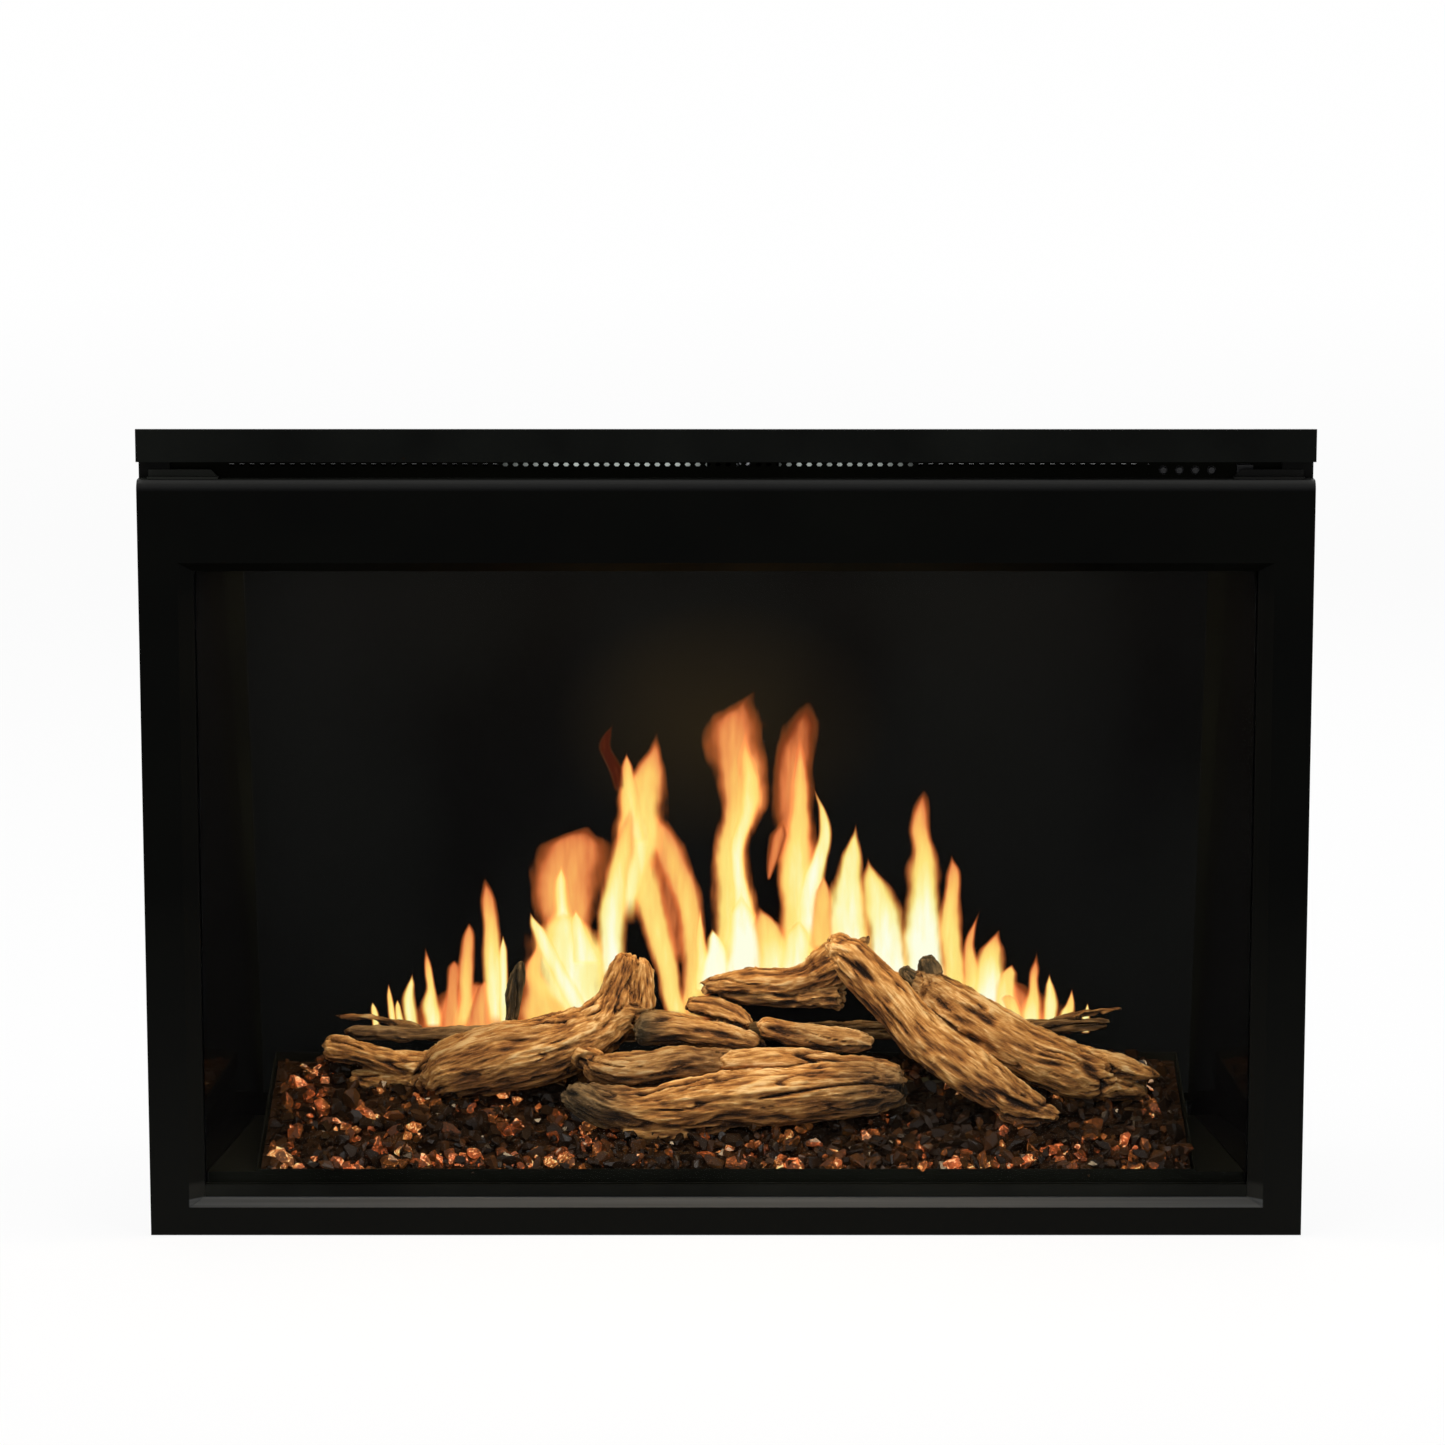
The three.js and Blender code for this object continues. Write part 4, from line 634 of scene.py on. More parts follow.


# Logs. Each limb of a log has rows along its line, read from the photograph: across and down
# in its pixels, depth behind the front in millimetres, radius in pixels, and how charred the wood is.
LOGS = {
    "left": [
        [(424, 1088, 162, 14, 0.5), (436, 1080, 160, 25, 0.3), (453, 1071, 156, 31, 0.15),
         (479, 1063.4, 152, 33, 0.1), (504, 1057, 150, 34, 0.1), (530, 1052, 150, 34, 0.1),
         (555, 1046, 151, 34, 0.1), (581, 1037, 154, 29, 0.1), (604, 1027, 158, 24, 0.1),
         (622, 1016, 160, 19, 0.15), (642, 1014, 161, 15, 0.5)],
        [(592, 1026, 157, 24, 0), (603, 1018, 158, 22, 0), (613, 1004, 160, 18, 0),
         (618, 990, 162, 15, 0), (622, 976, 164, 13.5, 0), (626, 963, 165, 12, 0), (629, 953, 166, 8, 0)],
        [(640, 1024, 160, 15, 0.4), (643, 1006, 161, 12, 0), (643.4, 991, 162, 10.5, 0),
         (643.5, 977, 163, 9, 0), (643.7, 965, 164, 7.5, 0), (643, 957, 165, 4.5, 0)],
        [(630, 1012, 161, 12, 0.1), (632, 996, 162, 9, 0.1), (634, 982, 163, 6, 0.2)],
        [(323, 1047, 182, 8.5, 0.1), (333, 1048, 181, 12, 0), (356, 1052, 178, 13, 0),
         (384, 1060, 174, 13, 0), (414, 1068, 168, 15, 0), (440, 1070, 162, 19, 0.1)],
        [(348, 1076, 178, 6, 0.2), (366, 1078, 176, 9, 0.1), (394, 1079, 172, 12, 0.1),
         (420, 1078, 166, 16, 0.1), (440, 1078, 160, 20, 0.1)],
    ],
    "front_rear": [
        [(584, 1062, 124, 8, 0.3), (596, 1067, 120, 14, 0.3), (616, 1070, 119, 18, 0.4),
         (647, 1068, 120, 19, 0.5), (678, 1063, 122, 17.5, 0.5), (708, 1062, 124, 15, 0.6),
         (739, 1062, 126, 12, 0.5)],
        [(572, 1050, 140, 6, 0.1), (582, 1056, 134, 11, 0.1), (596, 1062, 126, 12, 0.1),
         (606, 1068, 122, 10, 0.1)],
    ],
    "front": [
        [(562, 1086, 98, 7, 0.95), (571, 1092, 98, 13, 0.95), (586, 1099, 97, 17, 0.9),
         (604, 1105, 96, 20, 0.8), (624, 1108, 96, 22, 0.5), (642, 1110, 95, 23, 0.1),
         (680, 1107, 95, 26, 0), (718, 1101, 97, 27, 0), (757, 1098, 98, 28, 0.05),
         (795, 1095, 99, 28, 0.05), (826, 1092, 100, 28, 0.1), (846, 1091, 100, 27, 0.5),
         (872, 1089, 101, 25, 0.6), (900, 1086, 101, 17, 0.8), (912, 1084, 101, 9, 0.9)],
        [(622, 1129, 84, 3, 0.1), (632, 1131, 83, 6, 0), (655, 1133, 82, 7.5, 0),
         (683, 1133.5, 82, 7.5, 0), (708, 1129, 84, 6.5, 0.1), (730, 1123, 88, 4, 0.2)],
        [(716, 1066, 120, 6, 0.2), (734, 1063, 119, 11, 0.1), (782, 1061, 118, 13, 0.05),
         (833, 1064, 117, 13, 0.1), (884, 1070, 114, 11, 0.3), (906, 1076, 112, 6, 0.6)],
    ],
    "mid_left": [
        [(632, 1026, 142, 9, 1), (642, 1028, 142, 16, 1), (654, 1028, 142, 16.5, 0.8),
         (673, 1029, 142, 16, 0.3), (703, 1033, 140, 14.5, 0.15), (731, 1038, 137, 12, 0.2),
         (757, 1043, 133, 7.5, 0.4), (768, 1045, 131, 3, 0.6)],
        [(684, 1002, 158, 5, 0.3), (691, 1004, 157, 9, 0.1), (714, 1008, 154, 11, 0.1),
         (736, 1017, 148, 11, 0.1), (750, 1028, 142, 8, 0.2)],
    ],
    "mid_right": [
        [(756, 1029, 134, 5, 0.1), (765, 1029, 134, 10, 0.1), (779, 1032, 132, 11, 0.2),
         (796, 1036, 130, 12, 0.4), (826, 1039, 128, 12, 0.4), (856, 1041, 126, 10.5, 0.4),
         (876, 1043, 124, 6, 0.6)],
    ],
    "cross": [
        [(698, 990, 158, 4, 0.1), (706, 987, 160, 8, 0.1), (729, 984, 162, 12, 0.1),
         (757, 982, 164, 14, 0.1), (782, 982, 164, 14, 0.1), (808, 978, 162, 15, 0.05),
         (826, 968, 160, 20, 0.05), (842, 957, 156, 21, 0.05), (856, 952, 152, 14, 0.1)],
        [(716, 996, 162, 4, 0.4), (732, 997, 162, 8, 0.4), (760, 996, 162, 9, 0.4),
         (790, 996, 161, 10, 0.4), (818, 994, 158, 12, 0.4), (846, 996, 152, 14, 0.4)],
        [(742, 972, 166, 2, 0.6), (750, 970, 166, 4.5, 0.6), (758, 972, 166, 2.5, 0.6)],
    ],
    "diagonal": [
        [(824, 944, 153, 5, 0.1), (834, 947, 152, 14, 0.1), (848, 956, 151, 20, 0.05),
         (864, 972, 149, 22, 0.05), (884, 993, 144, 22, 0.05), (904, 1015, 138, 22, 0.05),
         (925, 1038, 130, 23.5, 0.05), (951, 1058, 121, 24, 0.05), (979, 1078, 112, 23.5, 0.05),
         (1007, 1095, 105, 20, 0.1), (1032, 1107, 100, 14, 0.15), (1050, 1113, 98, 8, 0.2),
         (1062, 1116, 97, 4, 0.2)],
        [(851, 948, 156, 6, 0.1), (859, 945, 157, 5, 0.3), (865, 940, 158, 3.5, 0.6),
         (869, 935, 158, 1.5, 0.8)],
        [(1000, 1112, 98, 5, 0.2), (1016, 1116, 97, 7, 0.2), (1036, 1118, 96, 6, 0.2),
         (1058, 1119, 96, 3, 0.2)],
    ],
    "right": [
        [(917, 984, 162, 12, 0.8), (928, 988, 161, 20, 0.5), (953, 1007, 157, 26, 0.1),
         (979, 1026, 153, 28, 0.05), (1009, 1043, 149, 28.5, 0.05), (1040, 1058, 146, 29, 0.05),
         (1070, 1070, 143, 27, 0.1), (1098, 1077, 141, 22, 0.15), (1118, 1081, 140, 16, 0.2)],
        [(1070, 1056, 144, 14, 0.05), (1093, 1060, 143, 12.5, 0.05), (1127, 1068, 141, 10.5, 0.05),
         (1150, 1074, 139, 6.5, 0.05), (1161, 1077, 138, 3, 0.1)],
        [(1090, 1084, 138, 14, 0.2), (1112, 1088, 138, 13, 0.3), (1132, 1091, 138, 9.5, 0.3),
         (1148, 1092, 138, 4.5, 0.4)],
        [(926, 992, 161, 12, 0.8), (914, 983, 162, 11.5, 1), (906, 975, 163, 10, 1),
         (903, 968, 164, 5, 1)],
        [(934, 985, 160, 13, 0.8), (930, 972, 162, 11, 1), (927, 963, 163, 10, 1), (924, 956, 164, 5, 1)],
    ],
    "rear": [
        [(343, 1032, 195, 3, 0.5), (354, 1033, 195, 6.5, 0.8), (450, 1034, 194, 7.5, 0.8),
         (600, 1033, 194, 9, 0.8), (760, 1032, 194, 9, 0.8), (900, 1030, 194, 9, 0.8),
         (1040, 1026, 194, 7.5, 0.8), (1098, 1023, 194, 5.5, 0.8), (1110, 1022, 194, 2.5, 0.8)],
        [(334, 1015, 200, 1.7, 0.3), (352, 1016, 200, 3.2, 0.3), (378, 1018, 200, 3.6, 0.4),
         (404, 1025, 198, 4, 0.6), (424, 1032, 196, 4, 0.8)],
        [(1124, 1009, 200, 1.7, 0.3), (1104, 1010, 200, 3, 0.3), (1080, 1013, 200, 3.6, 0.4),
         (1058, 1020, 198, 4, 0.6), (1040, 1027, 196, 4, 0.8)],
        [(509, 1024, 198, 7, 1), (511, 1010, 199, 6.5, 1), (513, 994, 199, 7.5, 1),
         (516, 980, 199, 7.5, 1), (519, 968, 199, 6, 1), (522, 959, 199, 2.5, 1)],
    ],
}


BAR_RADIUS = 10 * MM
RING_GAP = 3 * MM
TORN_REACH = 10 * MM
VOXEL, QUICK_VOXEL = 1.35 * MM, 3 * MM
CARVE_DEPTH = 2 * MM


def limb_in_space(rows):
    """Rows of pixels as rows of x, y, z and radius in metres, and char."""
    found = []
    for px, py, depth, radius, char in rows:
        way = sight(px, py)
        reach = (FRONT + depth * MM - CAMERA_PLACE.y) / way.y
        found.append((*(CAMERA_PLACE + way * reach), radius * reach / FOCAL, char))
    return found


def limb_line(name, rows):
    """The curve that a straight limb is bent along, with the limb's radius at each row."""
    data = bpy.data.curves.new(name, 'CURVE')
    data.dimensions = '3D'
    data.resolution_u = 16
    data.use_radius = True
    data.use_stretch = True
    data.use_deform_bounds = True
    spline = data.splines.new('BEZIER')
    spline.bezier_points.add(len(rows) - 1)
    for point, (*place, radius, _) in zip(spline.bezier_points, rows):
        point.co = place
        point.radius = radius / BAR_RADIUS
        point.handle_left_type = point.handle_right_type = 'AUTO'
    line = bpy.data.objects.new(name, data)
    scene.collection.objects.link(line)
    return line


def straight_limb(name, length, seed):
    """A round bar along X in fine rings, whose ends are torn in and out."""
    bpy.ops.mesh.primitive_cylinder_add(vertices=36, radius=BAR_RADIUS, depth=length, end_fill_type='NGON',
                                        rotation=(0, math.pi / 2, 0), location=(length / 2, 0, 0))
    bpy.ops.object.transform_apply(location=True, rotation=True, scale=True)
    bar = bpy.context.object
    bar.name = name
    edit(bar)
    pick(bar, 'EDGE', lambda middle, way: abs(way.x) > 0.9)
    bpy.ops.mesh.subdivide(number_cuts=max(6, int(length / RING_GAP)))
    pick(bar, 'FACE', lambda middle, normal: abs(normal.x) > 0.9)
    for _ in range(5):
        bpy.ops.mesh.inset(thickness=1.6 * MM, use_individual=True)
    bpy.ops.mesh.poke()
    leave()
    reach = min(TORN_REACH, length * 0.07)
    for vertex in bar.data.vertices:
        x, y, z = vertex.co
        hold = 1 - min(1.0, min(x, length - x) / (reach * 2.2))
        torn = noise.noise((seed * 5.3, y * 260, z * 260)) + 0.6 * noise.noise((seed, y * 620, z * 620))
        vertex.co.x -= math.copysign(1, x - length / 2) * reach * max(0.0, hold) * (0.35 + 0.9 * torn)
    return bar


def limb_samples(rows, offset):
    """Close points along a limb: place, way, two cross directions, radius, char and grain offset."""
    steps, window = 14, 21
    rows = np.array(rows, float)
    share = np.linspace(0, len(rows) - 1, (len(rows) - 1) * steps + 1)
    x, y, z, radius, char = (np.interp(share, np.arange(len(rows)), column) for column in rows.T)
    place = np.stack([x, y, z], 1)
    way = np.gradient(place, axis=0)
    soft = np.ones(window) / window
    way = np.stack([np.convolve(np.pad(column, window // 2, 'edge'), soft, 'valid') for column in way.T], 1)
    way /= np.linalg.norm(way, axis=1)[:, None]
    side = np.cross(way, (0.0, 1.0, 0.0))
    side /= np.linalg.norm(side, axis=1)[:, None]
    run = np.concatenate([[0], np.cumsum(np.linalg.norm(np.diff(place, axis=0), axis=1))]) + offset
    return place, way, side, np.cross(way, side), radius, char, run


def read_vectors(log, name):
    row = np.empty(len(log.data.vertices) * 3)
    log.data.vertices.foreach_get(name, row)
    return row.reshape(-1, 3)


def note_grain(log, points, limbs, seed):
    """Gives every point its place along and across the nearest limb, so that the grain follows it."""
    parts = [limb_samples(rows, seed * 3.1 + i * 1.37) for i, rows in enumerate(limbs)]
    place, way, side, up, radius, char, run = (np.concatenate(column) for column in zip(*parts))
    grain = np.empty((len(points), 3))
    burnt = np.empty(len(points))
    batch = 4000
    for start in range(0, len(points), batch):
        some = slice(start, start + batch)
        gap = np.linalg.norm(points[some, None, :] - place[None, :, :], axis=2) / radius[None, :]
        near = gap.argmin(axis=1)
        away = points[some] - place[near]
        for column, direction in enumerate((way, side, up)):
            grain[some, column] = np.einsum("ij,ij->i", away, direction[near])
        grain[some, 0] += run[near]
        burnt[some] = char[near]
    log.data.attributes.new("grain", 'FLOAT_VECTOR', 'POINT').data.foreach_set("vector", grain.ravel())
    log.data.attributes.new("char", 'FLOAT', 'POINT').data.foreach_set("value", burnt)
    return grain


def smooth_step(low, high, value):
    share = min(1.0, max(0.0, (value - low) / (high - low)))
    return share * share * (3 - 2 * share)


def grain_noise(spot, along, across, offset=0.0):
    """Noise whose cells are counted per metre, along the grain and across it."""
    return noise.noise((spot[0] * along + offset, spot[1] * across, spot[2] * across))


def carve_grain(log, limbs, seed):
    """Cuts plates, ridges, fibres and cracks along the grain, and notes how deep each point lies for its
    colour, with painted highlight on ridges and tops and painted shade in cracks and on undersides.
    """
    points = read_vectors(log, "co")
    normal = read_vectors(log, "normal")
    grain = note_grain(log, points, limbs, seed)
    groove_and_painted_shade = np.empty(len(points))
    moved = np.empty(len(points))
    for i, spot in enumerate(grain):
        wander = 0.005 * grain_noise(spot, 18, 12)
        turned = (spot[0], spot[1] + wander, spot[2] - wander)
        lump = grain_noise(spot, 17, 30)
        plate = smooth_step(-0.05, 0.10, grain_noise(turned, 15, 80, 5))
        ridge = 1 - 2.3 * abs(grain_noise(turned, 24, 190))
        fibre = 1 - 2.2 * abs(grain_noise(turned, 60, 400, 7))
        crack = 1 - smooth_step(0.02, 0.08, abs(grain_noise(turned, 12, 90, 31)))
        crack *= smooth_step(-0.02, 0.14, grain_noise(turned, 38, 60, 9))
        split = 1 - smooth_step(0.012, 0.060, abs(grain_noise(turned, 5, 38, 17)))
        split *= smooth_step(0.0, 0.12, grain_noise(turned, 14, 25, 2))
        chip = smooth_step(0.14, 0.26, grain_noise(turned, 70, 140, 3))
        height = lump + 0.8 * plate + 0.8 * ridge + 0.35 * fibre - 1.1 * crack - 2.2 * split - 0.4 * chip
        # colour height: ridges pale and cracks dark, partly the wood's own tone and partly painted highlight
        # and painted shade
        shown = 0.44 + 0.14 * (plate - 0.5) + 0.27 * ridge + 0.20 * fibre - 0.36 * crack - 0.55 * split
        rises = normal[i, 2]
        # painted shade: lighter on tops, darker on undersides
        groove_and_painted_shade[i] = shown + 0.06 * lump - 0.06 * chip + 0.07 * rises - 0.26 * max(0.0, -rises)
        moved[i] = CARVE_DEPTH * (height - 0.75)
    points += normal * moved[:, None]
    log.data.vertices.foreach_set("co", points.ravel())
    log.data.attributes.new("groove_and_painted_shade", 'FLOAT', 'POINT').data.foreach_set("value", groove_and_painted_shade)
    log.data.update()


def driftwood_log(name, limbs, seed):
    """Limbs bent along their lines, fused into one piece of wood and carved along the grain."""
    bars = []
    limbs = [limb_in_space(rows) for rows in limbs]
    for i, rows in enumerate(limbs):
        points = [Vector(row[:3]) for row in rows]
        length = sum((b - a).length for a, b in zip(points, points[1:]))
        bar = straight_limb(f"{name}_limb_{i}", length, seed + i)
        line = limb_line(f"{name}_line_{i}", rows)
        apply_modifier(bar, 'CURVE', object=line, deform_axis='POS_X')
        bpy.data.objects.remove(line)
        bars.append(bar)
    log = joined(bars, "driftwood_" + name)
    apply_modifier(log, 'REMESH', mode='VOXEL', voxel_size=VOXEL)
    apply_modifier(log, 'SMOOTH', factor=0.5, iterations=6)
    carve_grain(log, limbs, seed)
    finished(log, "cabinet", finishes["log"], 60)
    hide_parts("log_" + name)


for number, (name, limbs) in enumerate(LOGS.items()):
    driftwood_log(name, limbs, number + 1.0)


# Ember bed, in millimetres behind the front and to each side
BED_FRONT, BED_BACK, BED_HALF = 28.5, 214.0, 387.0
CHUNKS, QUICK_CHUNKS = 3000, 900
CHUNK_RADII = (4.0, 5.2, 6.6, 8.2, 11.0)

# How brightly a chunk is lit, by the upper limit of its draw, and what the rest get
GLOWS = ((0.03, 1.0), (0.12, 0.80), (0.27, 0.58), (0.52, 0.32))
DARK_GLOW = 0.06


def bed_height(x, depth):
    """The bed rises from the tray's edge to the display, in low mounds."""
    tray_edge, tray_high, run, climb = 27, 47, 188, 53
    mound_high, mound_wide = 2.4, 62
    u, v = x / mound_wide, depth / mound_wide
    mound = mound_high * math.sin(u * 5.1 + math.sin(v * 3.7) * 1.3) * math.cos(v * 4.3 + u)
    return tray_high + (depth - tray_edge) / run * climb + mound


def glass_chunk(name, draws):
    """A lump of broken glass: a ball cut by flat breaks."""
    bpy.ops.mesh.primitive_ico_sphere_add(subdivisions=1, radius=1.0, location=(0, 0, 0))
    chunk = bpy.context.object
    chunk.name = name
    edit(chunk)
    for _ in range(6):
        way = Vector((draws.gauss(0, 1), draws.gauss(0, 1), draws.gauss(0, 1))).normalized()
        bpy.ops.mesh.select_all(action='SELECT')
        bpy.ops.mesh.bisect(plane_co=way * draws.uniform(0.25, 0.75), plane_no=way, use_fill=True,
                            clear_outer=True)
    bpy.ops.mesh.select_all(action='SELECT')
    bpy.ops.transform.resize(value=(1.0, draws.uniform(0.5, 0.9), draws.uniform(0.4, 0.75)))
    bpy.ops.mesh.remove_doubles(threshold=0.02)
    leave_facing_outwards()
    return chunk


def ember_layer():
    """Seeded chunks strewn over the bank: most are dark, and the lit ones gather at the front edge."""
    draws = random.Random(7)
    models = [glass_chunk(f"glass_chunk_{i}", draws) for i in range(10)]
    copies = []
    for _ in range(CHUNKS):
        model = draws.choice(models)
        x = draws.uniform(-BED_HALF + 6, BED_HALF - 6)
        depth = BED_FRONT + 5 + (BED_BACK - BED_FRONT - 10) * draws.random() ** 1.25
        radius = draws.choice(CHUNK_RADII) * draws.uniform(0.85, 1.2)
        height = bed_height(x, depth) + draws.uniform(-0.5, 0.55) * radius
        place = Matrix.Translation((x * MM, FRONT + depth * MM, height * MM))
        place = place @ Matrix.Rotation(draws.uniform(0, 6.28), 4, 'Z')
        for axis in "XY":
            place = place @ Matrix.Rotation(draws.gauss(0, 0.7), 4, axis)
        edge = math.exp(-(depth - BED_FRONT) / 16)
        patch = noise.noise((x / 42, depth / 30, 3.3))
        draw = draws.random() + 0.15 - 0.46 * edge - 0.55 * patch
        glow = next((glow for limit, glow in GLOWS if draw < limit), DARK_GLOW) * draws.uniform(0.82, 1.05)
        copies.append((model, place @ Matrix.Scale(radius * MM, 4), {"glow": glow, "facet": draws.random}))
    embers = gathered("crushed_glass_embers", copies)
    for model in models:
        bpy.data.objects.remove(model)
    return embers


def ember_bank():
    """The dark bank under the loose chunks, rumpled so that no flat stretch shows between them."""
    low = Vector((-BED_HALF * MM, FRONT + BED_FRONT * MM, 0))
    high = Vector((BED_HALF * MM, FRONT + BED_BACK * MM, 0))
    bpy.ops.mesh.primitive_grid_add(x_subdivisions=220, y_subdivisions=54, size=1, location=(low + high) / 2)
    bank = bpy.context.object
    bank.name = "ember_bank"
    bank.scale = (high.x - low.x, high.y - low.y, 1)
    bpy.ops.object.transform_apply(location=True, rotation=True, scale=True)
    for vertex in bank.data.vertices:
        x, depth = vertex.co.x / MM, (vertex.co.y - FRONT) / MM
        rough = 2.4 * noise.noise((x / 7, depth / 7, 0.5))
        vertex.co.z = (bed_height(x, depth) - 2.5 + rough) * MM
    edit(bank)
    bpy.ops.mesh.select_all(action='SELECT')
    bpy.ops.mesh.extrude_region_move(TRANSFORM_OT_translate={"value": (0, 0, -6 * MM)})
    leave_facing_outwards()
    for name, value in (("glow", 0.12), ("facet", 0.3)):
        layer = bank.data.attributes.new(name, 'FLOAT', 'FACE')
        layer.data.foreach_set("value", [value] * len(bank.data.polygons))
    return bank


for piece in (ember_layer(), ember_bank()):
    finished(piece, "cabinet", finishes["ember_glass"])
    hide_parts("ember_bed")
